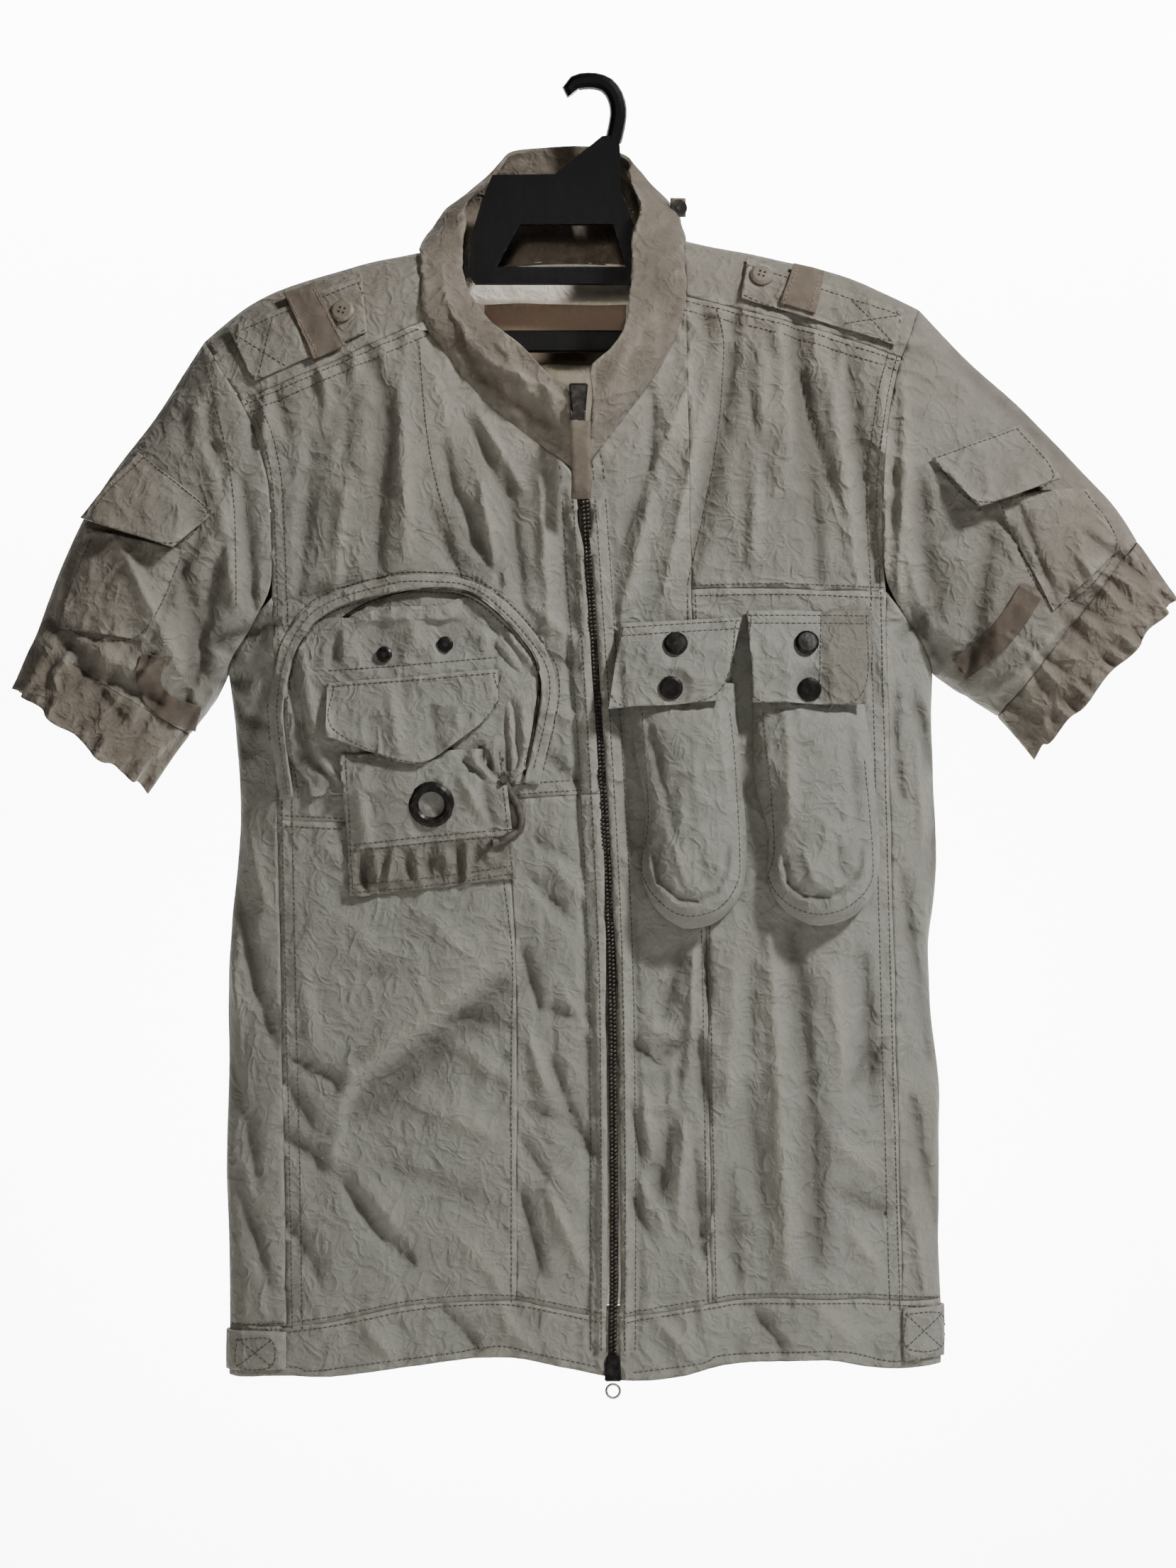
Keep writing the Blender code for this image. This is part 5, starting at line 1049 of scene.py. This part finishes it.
def along(points: Line, step: float) -> list[Place]:
    """Places at equal steps along a smooth line.

    Args:
        points: Corners of the line.
        step: Distance between the places, in the units of the points.

    Returns:
        The places, with both ends.
    """
    spots = [Vector(point) for point in points]
    dense = []
    for n in range(len(spots) - 1):
        before, after = spots[max(n - 1, 0)], spots[min(n + 2, len(spots) - 1)]
        a, b = spots[n], spots[n + 1]
        count = max(2, int((b - a).length / step) + 1)
        for k in range(count):
            t = k / count
            dense.append(0.5 * (2 * a + (b - before) * t + (2 * before - 5 * a + 4 * b - after)
                                * t * t + (3 * a - before - 3 * b + after) * t ** 3))
    dense.append(spots[-1])
    return [tuple(spot) for spot in dense]


def beside(line: Line, offset: float) -> list[Place]:
    """A line moved sideways; a positive offset is to the left of its run."""
    moved = []
    for n, (x, z) in enumerate(line):
        a, b = line[max(n - 1, 0)], line[min(n + 1, len(line) - 1)]
        run_x, run_z = b[0] - a[0], b[1] - a[1]
        length = math.hypot(run_x, run_z) or 1.0
        moved.append((x - run_z / length * offset, z + run_x / length * offset))
    return moved


# Geometry Nodes


class Repeater:
    """A Geometry Nodes tree that sets one small shape again and again along lines."""

    def __init__(self, name: str) -> None:
        """Builds the tree under a name."""
        nodes, given, end = group(name, "GeometryNodeTree", {
            "Geometry": GEOMETRY, "Step": 0.003, "Length": 0.0022, "Width": 0.0007,
            "Height": 0.0007, "Variation": 0.12, "Finish": MATERIAL}, {"Geometry": GEOMETRY})
        self.tree = nodes.tree
        curve = nodes.add("GeometryNodeMeshToCurve", {"Mesh": given["Geometry"]})
        spaced = nodes.add("GeometryNodeResampleCurve", {
            "Curve": curve.outputs["Curve"], "Length": given["Step"]}, mode="LENGTH")
        tangent = nodes.add("GeometryNodeInputTangent").outputs[0]
        turn = nodes.add("FunctionNodeAlignRotationToVector", {"Vector": tangent}, axis="Z")
        face = nodes.add("FunctionNodeAlignRotationToVector", {
            "Vector": (0.0, 1.0, 0.0), "Rotation": turn.outputs[0]}, axis="Y", pivot_axis="Z")
        copies = nodes.add("GeometryNodeInstanceOnPoints", {
            "Points": spaced.outputs["Curve"], "Instance": self.shape(nodes),
            "Rotation": face.outputs[0], "Scale": self.size(nodes, given)})
        real = nodes.add("GeometryNodeRealizeInstances", {0: copies.outputs[0]})
        paint = nodes.add("GeometryNodeSetMaterial", {
            "Geometry": real.outputs[0], "Material": given["Finish"]})
        nodes.feed(end, {"Geometry": paint.outputs["Geometry"]})

    @staticmethod
    def shape(nodes: Nodes) -> bpy.types.NodeSocket:
        """Adds the repeated shape, a unit long and wide, and returns its socket."""
        return nodes.add("GeometryNodeMeshCylinder", {"Vertices": 6, "Radius": 0.5, "Depth": 1.0},
                         fill_type="NGON").outputs["Mesh"]

    @staticmethod
    def size(nodes: Nodes, given: dict) -> bpy.types.NodeSocket:
        """Adds the scale of each copy, with a little variation in length, and returns it."""
        chance = nodes.add("FunctionNodeRandomValue", {"Seed": 7}, data_type="FLOAT").outputs
        number = next(socket for socket in chance if socket.type == "VALUE")
        lowest = nodes.maths("SUBTRACT", 1.0, given["Variation"])
        share = nodes.maths("MULTIPLY_ADD", number, given["Variation"], lowest)
        return nodes.add("ShaderNodeCombineXYZ", {
            "X": given["Width"], "Y": given["Height"],
            "Z": nodes.maths("MULTIPLY", given["Length"], share)}).outputs[0]

    def lay(self, name: str, lines: Sequence[Sequence[Vector]], finish: Fabric | Hard,
            **sizes: float) -> None:
        """Sets the shape along some lines and keeps the result as a plain mesh.

        Args:
            name: The piece's name.
            lines: Lines of points in metres.
            finish: What the copies are made of.
            sizes: The tree's inputs by name, in mm.
        """
        points, edges = [], []
        for line in lines:
            start = len(points)
            points += [tuple(point) for point in line]
            edges += [(n, n + 1) for n in range(start, len(points) - 1)]
        data = bpy.data.meshes.new(name)
        data.from_pydata(points, edges, [])
        thing = add_object(name, data)
        repeat = thing.modifiers.new("repeat", "NODES")
        repeat.node_group = self.tree
        values = {key: value if key == "Variation" else value * MM
                  for key, value in sizes.items()}
        values["Finish"] = made_of(finish)
        for item in self.tree.interface.items_tree:
            if item.in_out == "INPUT" and item.name in values:
                repeat[item.identifier] = values[item.name]
        settle(thing).shade_smooth()
        place_piece(thing, finish)
        LOG.info("%s: %d faces", name, len(thing.data.polygons))


class Blocks(Repeater):
    """Repeats a plain block, for zip teeth."""

    @staticmethod
    def shape(nodes: Nodes) -> bpy.types.NodeSocket:
        """Adds a unit block and returns its socket."""
        return nodes.add("GeometryNodeMeshCube").outputs["Mesh"]


STITCHES = Repeater("Stitches")
TEETH = Blocks("Zip teeth")


# Sewing


@dataclass(frozen=True)
class Seam:
    """A line of sewing in mm as seen from one side, with its rows' offsets from it."""

    points: Line
    rows: tuple[float, ...]
    view: View

    def lines(self, cloth: Cloth) -> list[list[Vector]]:
        """Returns the rows as points on the cloth, broken where there is none."""
        found = []
        base = along(self.points, 3.0)
        for offset in self.rows:
            current: list[Vector] = []
            for x, z in beside(base, offset):
                spot = cloth.at(x, z, self.view)
                jump = spot and current and (spot[0] - current[-1]).length > 9 * MM
                if spot is None or jump:
                    if len(current) > 1:
                        found.append(current)
                    current = []
                if spot is not None:
                    current.append(spot[0] + spot[1] * 0.12 * MM)
            if len(current) > 1:
                found.append(current)
        return found


def seams(table: str, view: View = View.FRONT) -> tuple[Seam, ...]:
    """Seams from a table in mm, one each semicolon: name, x and z of its points, its rows.

    A seam without rows has one, on its own line.
    """
    found = []
    for row in table.split(";"):
        _, spots, *rows = row.split(":")
        numbers = [float(number) for number in spots.split()]
        offsets = tuple(float(offset) for offset in (rows or ["0"])[0].split())
        found.append(Seam(tuple(zip(numbers[::2], numbers[1::2])), offsets, view))
    return tuple(found)


@dataclass(frozen=True)
class Sewing:
    """Rows of stitches on one set of cloth pieces."""

    name: str
    nodes: tuple[str, ...]
    seams: tuple[Seam, ...]
    thread: Fabric = THREAD

    def build(self, pieces: dict[str, bpy.types.Object]) -> None:
        """Lays the rows on finished cloth, given by the name of its solid."""
        cloth = Cloth([pieces[node] for node in self.nodes])
        lines = [line for seam in self.seams for line in seam.lines(cloth)]
        STITCHES.lay(self.name, lines, self.thread, Step=3.4, Length=2.5, Width=0.75,
                     Height=0.6, Variation=0.15)


BODY_NODES = ("front_left_chest", "front_left_lower", "front_left_strip", "front_right_chest",
              "front_right_lower", "front_right_strip", "side_left", "side_right", "yoke_left",
              "yoke_right", "hem_left", "hem_right", "sleeve_left", "sleeve_right", "back",
              "hem_back")
BODY_SEAMS = seams("""
    side left: -194.4 -788 -197 -640 -199.8 -500 -203 -330: -3 -9.5;
    side right: 197 -776 193 -640 189 -500 184 -330: 3 9.5;
    princess left: -50 -770 -49.8 -620 -49.7 -545 -60 -470: 2.5;
    princess right: 74.5 -770 73 -700 70 -535 65 -420 61 -325: -2.5 2.6;
    armhole left: -203 -326 -204 -293 -206 -254 -212 -225 -222 -203: -3 -9;
    armhole right: 184 -326 181.3 -262 187 -205 194.4 -174: 3 9;
    chest: 64 -321 120 -320 182 -322: 2.6 -4;
    waist left: -198 -466 -178 -467 -160 -468: 2.6 -4;
    waist strip: -60 -455 -40 -452 -8 -450: 2.6 9;
    yoke left: -221 -200.5 -165 -176.5 -110 -152.4: -3 -9;
    yoke right: 60 -135.6 130 -153 193 -172.6: -3 -9;
    front line left: -60 -470 -78 -326 -100 -240 -108 -168: 2.5;
    front line right: 61 -318 78 -240 84 -170 80 -144: 2.5;
    placket left: 7.8 -800 7.8 -661 4.6 -508 -9.8 -266 -12.6 -250: 3.5 10;
    placket right: 15.8 -800 15.8 -661 12.2 -508 -2.8 -266 -5.4 -248: -3.5 -10;
    hem left: -230 -790 -200 -788.7 -160 -782.4 -112 -772.5 -55 -769.3 2 -780.2: -3 3;
    hem right: 21 -780.2 75 -771.6 96 -769.3 160 -769.3 218 -773.4: -3 3;
    hem edge left: -229 -817 -190 -813 -180 -815.5 -130 -808.5 -86 -802.5 -60 -798.5 -42 -802 0 -811;
    hem edge right: 26 -815 68 -809.5 79 -805 114 -803 158 -803 188 -810 216 -807;
    sleeve head left: -249 -166 -240 -200 -228 -260 -226 -330;
    cuff left: -354 -372 -318 -398 -272 -428: -4 4;
    cuff right: 355 -312 318 -352 272 -404: 4 -4""") + seams("""
    back side left: -194 -784 -200 -560 -205 -330: 3 9.5;
    back side right: 197 -772 189 -560 184 -330: -3 -9.5;
    back yoke left: -234 -195 -170 -158 -106 -125: -3 -9;
    back yoke right: 54 -117 125 -140 199 -173: -3 -9;
    back hem: -190 -782 -120 -772 0 -776 120 -768 192 -770: -3 3;
    back hem edge: -188 -812 -120 -806 0 -810 120 -802 190 -806""", View.BACK)

SEWING = (
    Sewing("body_stitches", BODY_NODES, BODY_SEAMS),
    Sewing("arch_stitches",
           ("arch_band", "arch_panel", "patch_pocket", "front_left_chest", "front_left_lower"),
           seams("""
        arch outside: -189 -452 -195.7 -389 -177 -341 -131 -323 -101 -321 -78 -324.5 -57 -341 -38.4
        -363.4 -32.5 -380 -34.8 -401 -42 -431: -2 4.5 10.5;
        patch left: -152 -512 -156.5 -426;
        patch right: -51.4 -500 -59.6 -424;
        patch gather: -153 -486 -100 -480 -52 -476: 0 4;
        patch low: -151 -512 -100 -507 -52 -500: 0 5;
        panel gather: -166 -372 -120 -369 -62 -364""")),
    Sewing("arch_flap_stitches", ("arch_flap",), seams("""
        flap: -164 -384 -163 -410 -106 -430 -63 -396 -63 -376;
        flap top: -164 -382 -110 -378 -63 -374""")),
    Sewing("pouch_stitches", ("pouch_left", "pouch_right"), seams("""
        left pouch: 30 -400 34 -463 30 -498 42 -518 58 -526 78 -521 89 -506 91 -488 88 -430 85 -400;
        right pouch: 106 -400 113 -479 110 -503 122 -519 140 -525 158 -521 172 -508 175 -490 170
        -430""")),
    Sewing("pouch_flap_stitches", ("pouch_flap_left", "pouch_flap_right"), seams("""
        left flap: 18 -346 13.5 -392.5 75.5 -387.5 89 -342;
        left flap top: 18 -345.5 55 -343 90 -341: 0 -5;
        right flap: 98.5 -338 100 -389 165 -390 171.5 -338;
        right flap top: 98 -337.5 172 -337.5: 0 -5;
        right flap fold: 142.5 -338 141 -389""")),
    Sewing("shoulder_stitches", ("epaulette_left", "epaulette_right"), seams("""
        left strap: -227 -158 -212 -187 -146 -157.5 -149 -127;
        left strap top: -226 -157 -149 -126;
        left cross a: -226 -160 -196 -179;
        left cross b: -212 -186 -204 -150;
        right strap: 97 -116 95.5 -135 187 -163 192 -145;
        right strap top: 98 -115 193 -146;
        right cross a: 160 -152 191 -147;
        right cross b: 164 -138 187 -162""")),
    Sewing("sleeve_trim_stitches",
           ("sleeve_pocket_left", "sleeve_pocket_right", "sleeve_flap_left", "sleeve_flap_right",
            "sleeve_left", "sleeve_right"),
           seams("""
        left flap: -286 -237 -317 -276 -265.5 -292 -243 -271.5;
        left flap top: -285 -237 -242 -271;
        left pocket: -320 -290 -335 -342 -288 -350 -261 -300;
        right flap: 215 -239 242 -266 289 -251 268.5 -219;
        right flap top: 215 -238 268 -218.5;
        right pocket: 256 -266 290 -330 331 -294 312 -259""")),
    Sewing("twill_stitches",
           ("epaulette_loop_left", "epaulette_loop_right", "sleeve_strap_left", "sleeve_strap_right",
            "hem_tab_left", "hem_tab_right"),
           seams("""
        loop left: -174.5 -173 -193 -137;
        loop left b: -158.5 -166 -177 -131;
        loop right: 119.5 -140 128 -118;
        loop right b: 136.5 -144 142.5 -122"""), PALE_THREAD),
    Sewing("hem_tab_stitches", ("hem_tab_left", "hem_tab_right", "hem_left", "hem_right"), seams("""
        left box: -227 -797 -205 -796 -205 -813 -227 -814 -227 -797;
        left cross a: -226 -797 -206 -812;
        left cross b: -206 -797 -226 -813;
        right box: 198 -780 221 -781 221 -802 198 -801 198 -780;
        right cross a: 199 -781 220 -801;
        right cross b: 220 -782 199 -800""")),
)


@dataclass
class ZipTeeth:
    """The metal teeth down the front. Sizes in mm."""

    line: Line = ZIP_LINE
    step: float = 2.6
    wide: float = 2.6
    tall: float = 1.5
    deep: float = 1.4
    apart: float = 1.15

    def build(self, pieces: dict[str, bpy.types.Object]) -> None:
        """Lays two rows of teeth that mesh with each other.

        Args:
            pieces: Finished cloth by the name of its solid.
        """
        cloth = Cloth([pieces["zip_chain"]])
        rows = []
        for side, lag in ((-1, 0.0), (1, self.step / 2)):
            base = along(self.line, 3.0)
            low = (base[0][0], base[0][1] + lag)
            places = beside([low] + base[2:], side * self.apart)
            spots = [cloth.at(x, z) for x, z in places]
            rows.append([spot[0] + spot[1] * self.deep * 0.35 * MM for spot in spots if spot])
        TEETH.lay("zip_teeth", rows, TEETH_METAL, Step=self.step, Length=self.tall,
                  Width=self.wide, Height=self.deep, Variation=0.0)


@dataclass
class ArchZip:
    """Fine coil round the arch pocket and the leather cord on its slider. Sizes in mm."""

    edge: Line = ((-158, -338.5), (-144, -330.5), (-128, -325.2), (-105, -321), (-82, -322.5),
                  (-65, -332), (-49, -348), (-37.6, -364), (-34.6, -381), (-38.5, -410),
                  (-44, -438))
    cord: Line = ((-55.6, -439), (-51, -452), (-46, -466), (-50, -474), (-64, -481))
    radius: float = 2.5
    coil: float = 1.1

    def build(self, pieces: dict[str, bpy.types.Object]) -> None:
        """Lays the coil beside the band and the cord over it.

        Args:
            pieces: Finished cloth by the name of its solid.
        """
        cloth = Cloth([pieces[n] for n in ("arch_band", "arch_panel", "front_left_chest")])
        line = []
        for x, z in along(self.edge, 3.0):
            spot = cloth.at(x, z)
            if spot:
                line.append(spot[0] + spot[1] * 0.1 * MM)
        rod("arch_coil", line, self.coil, TEETH_METAL, 8)
        seat = Cloth([pieces[n] for n in ("patch_pocket", "arch_panel", "arch_band",
                                          "front_left_strip", "front_left_lower")])
        spots = [spot for spot in (seat.at(x, z) for x, z in along(self.cord, 3.0)) if spot]
        lift = (self.radius + 0.4) * MM
        rod("leather_pull", [p + n * lift for p, n in spots], self.radius, LEATHER)


def rod(name: str, points: Sequence[Vector], radius: float, finish: Fabric | Hard,
        sides: int = 10) -> None:
    """Makes a closed round rod along a line.

    Args:
        name: The piece's name.
        points: Points of its middle line, in metres.
        radius: Its radius in mm.
        finish: What it is made of.
        sides: How many sides it has round it.
    """
    mesh = bmesh.new()
    rings = []
    for n, point in enumerate(points):
        run = points[min(n + 1, len(points) - 1)] - points[max(n - 1, 0)]
        run.normalize()
        side = run.orthogonal().normalized() if abs(run.y) > 0.9 else run.cross(
            Vector((0.0, 1.0, 0.0))).normalized()
        up = run.cross(side)
        rings.append([mesh.verts.new(point + (side * math.cos(2 * math.pi * k / sides)
                                              + up * math.sin(2 * math.pi * k / sides))
                                     * radius * MM) for k in range(sides)])
    for a, b in zip(rings, rings[1:]):
        for k in range(sides):
            m = (k + 1) % sides
            mesh.faces.new((a[k], a[m], b[m], b[k]))
    mesh.faces.new(rings[0])
    mesh.faces.new(rings[-1])
    bmesh.ops.recalc_face_normals(mesh, faces=mesh.faces)
    place_piece(add_mesh(name, mesh), finish)


@dataclass
class Eyes:
    """Black discs painted as the shade in the sunk eyes of the snaps and the holes of the buttons, and
    the snap on the collar's tab, in mm.
    """

    snap_eye: float = 1.7
    hole: float = 0.75
    hole_gap: float = 1.5
    stud: float = 5.4

    @staticmethod
    def front(name: str) -> tuple[Vector, Vector]:
        """The middle of a small solid's front face and the way it faces."""
        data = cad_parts[name].data
        middle = sum((v.co for v in data.vertices), Vector()) / len(data.vertices)
        normal = sum((f.normal * f.area ** 2 for f in data.polygons if f.normal.y < 0), Vector())
        normal.normalize()
        reach = max((v.co - middle).dot(normal) for v in data.vertices)
        return middle + normal * reach, normal

    @staticmethod
    def disc(mesh: bmesh.types.BMesh, centre: Vector, normal: Vector, radius: float,
             thick: float = 0.5) -> None:
        """Adds a thin round plate that stands 0.1 mm proud of a place."""
        turn = normal.to_track_quat("Z", "Y").to_matrix().to_4x4()
        shift = Matrix.Translation(centre + normal * (0.1 - thick / 2) * MM)
        bmesh.ops.create_cone(mesh, cap_ends=True, segments=16, radius1=radius * MM,
                              radius2=radius * MM, depth=thick * MM, matrix=shift @ turn)

    def build(self, pieces: dict[str, bpy.types.Object]) -> None:
        """Makes the painted shade discs of the eyes and the holes, and the collar's snap.

        Args:
            pieces: Finished cloth by the name of its solid.
        """
        shade_discs, rings = bmesh.new(), bmesh.new()
        for name in ("arch_snap_left", "arch_snap_right"):
            self.disc(shade_discs, *self.front(name), self.snap_eye)
        for name in ("epaulette_button_left", "epaulette_button_right"):
            centre, normal = self.front(name)
            side = normal.cross(Vector((0.3, 0.0, 1.0))).normalized()
            up = normal.cross(side)
            for a, b in ((1, 1), (1, -1), (-1, 1), (-1, -1)):
                spot = centre + (side * a + up * b) * self.hole_gap * MM
                self.disc(shade_discs, spot, normal, self.hole)
        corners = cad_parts["collar_tab"].data.vertices
        middle = sum((v.co for v in corners), Vector()) / len(corners) / MM
        spot, normal = Cloth([pieces["collar_tab"]]).at(middle.x, middle.z)
        # The collar's snap: a metal plate, a black disc painted as the shade round its centre, and a
        # small metal centre.
        for mesh, proud, share, thick in ((rings, 0.9, 1.0, 1.8), (shade_discs, 1.1, 0.62, 0.6),
                                          (rings, 1.5, 0.34, 1.0)):
            self.disc(mesh, spot + normal * proud * MM, normal, self.stud * share, thick)
        place_piece(add_mesh("painted_hole_shade", shade_discs), HOLE_SHADE)
        place_piece(add_mesh("collar_snap", rings), DARK_METAL)


@dataclass
class Hardware:
    """Finishes of the kept solids: hanger, snaps, sliders, ring, buttons, grommet."""

    finishes: dict[str, Hard] = field(default_factory=lambda: {
        "hanger": PLASTIC, "snap": DARK_METAL, "slider": DARK_METAL, "pull_top": DARK_METAL,
        "grommet": DARK_METAL, "pull_ring": BRIGHT_METAL, "button": HORN,
    })

    def build(self) -> None:
        """Gives every kept solid its finish."""
        for name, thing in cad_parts.items():
            for word, finish in self.finishes.items():
                if word in name and "tape" not in name:
                    thing.data.materials.clear()
                    dress(thing, finish)
                    thing.data.shade_smooth()
                    LOG.info("%s: %s", name, finish.name)


@dataclass
class Studio:
    """Pale sweep of paper, soft lights and the camera. Sizes in metres."""

    middle: Colour = (-0.004, 0.0, -0.4435)
    away: float = 3.2
    lens: float = 115.0
    paper: Colour = (246, 246, 245)

    def sweep(self) -> None:
        """Builds the floor and the wall behind it as one curved sheet."""
        mesh = bmesh.new()
        profile = [(-6.0, -1.5)] + [
            (1.2 + 1.2 * math.sin(t), -0.3 - 1.2 * math.cos(t))
            for t in (math.pi / 2 * n / 12 for n in range(13))] + [(2.4, 5.0)]
        rows = [[mesh.verts.new((x, y, z)) for x in (-7.0, 7.0)] for y, z in profile]
        for a, b in zip(rows, rows[1:]):
            mesh.faces.new((a[0], a[1], b[1], b[0]))
        thing = add_mesh("paper_sweep", mesh, 60)
        paper = bpy.data.materials.new("Pale paper")
        paper.use_nodes = True
        nodes = Nodes(paper.node_tree)
        behind = nodes.add("ShaderNodeNewGeometry").outputs["Backfacing"]
        nodes.feed(paper.node_tree.nodes["Principled BSDF"], {
            "Alpha": nodes.maths("SUBTRACT", 1.0, behind),
            "Base Color": (*tone(*self.paper), 1.0), "Roughness": 0.9})
        thing.data.materials.append(paper)
        thing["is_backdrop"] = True

    @staticmethod
    def lamp(name: str, place: Colour, size: float, power: float, colour: Colour,
             target: Colour = (0.0, 0.0, -0.42), spread: float = 180.0) -> None:
        """Adds a square soft light.

        Args:
            name: The light's name.
            place: Where it stands, in metres.
            size: The side of the square, in metres.
            power: Its power in watts.
            colour: Its linear colour.
            target: What it faces.
            spread: The full angle of its beam in degrees.
        """
        data = bpy.data.lights.new(name, "AREA")
        data.size, data.energy, data.color = size, power, colour
        data.spread = math.radians(spread)
        thing = add_object(name, data)
        thing.location = place
        aim = Vector(target) - Vector(place)
        thing.rotation_euler = aim.to_track_quat("-Z", "Y").to_euler()

    def build(self) -> None:
        """Builds the whole studio."""
        self.sweep()
        self.lamp("key", (1.5, -1.45, 1.3), 0.3, 100.0, (0.97, 0.985, 1.0))
        self.lamp("fill", (-0.1, -2.9, 0.55), 0.6, 8.0, (1.0, 0.94, 0.86))
        for side, x in (("left", -1.6), ("right", 1.6)):
            self.lamp("paper_" + side, (x, 1.2, 1.3), 1.4, 205.0, (1.0, 1.0, 1.0),
                      (0.0, 2.4, -0.3), 90.0)
        self.lamp("neck", (-0.03, -1.5, 0.3), 0.12, 0.035, (1.0, 0.95, 0.88), (-0.02, 0.0, -0.16),
                  10.0)
        world = bpy.data.worlds.new("Soft daylight")
        world.use_nodes = True
        sky = world.node_tree.nodes["Background"]
        sky.inputs["Color"].default_value = (1.0, 0.94, 0.86, 1.0)
        sky.inputs["Strength"].default_value = 0.06
        bpy.context.scene.world = world
        data = bpy.data.cameras.new("photo")
        data.lens = self.lens
        camera = add_object("photo", data)
        x, _, z = self.middle
        camera.location = (x, -self.away, z)
        camera.rotation_euler = (math.pi / 2, 0.0, 0.0)
        bpy.context.scene.camera = camera
        LOG.info("studio: sweep, lights and camera")


def plain(limits: object) -> object:
    """Bounds as plain lists of numbers."""
    if isinstance(limits, dict):
        return {key: plain(value) for key, value in limits.items()}
    if hasattr(limits, "__len__") and not isinstance(limits, str):
        return [plain(value) for value in limits]
    return limits


def main() -> None:
    """Builds the whole scene in order."""
    logging.basicConfig(level=logging.INFO, format="%(name)s: %(message)s")
    before = plain(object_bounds())
    pieces = {panel.node: panel.build() for panel in PANELS}
    Panel("pull_tape", (14, 52), 710, TWILL, 2, Part.TRIM, pucker=0.0, body="top_pull").build()
    for sewing in SEWING:
        sewing.build(pieces)
    ZipTeeth().build(pieces)
    ArchZip().build(pieces)
    Eyes().build(pieces)
    Hardware().build()
    Studio().build()
    after = plain(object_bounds())


if __name__ == "__main__":
    main()
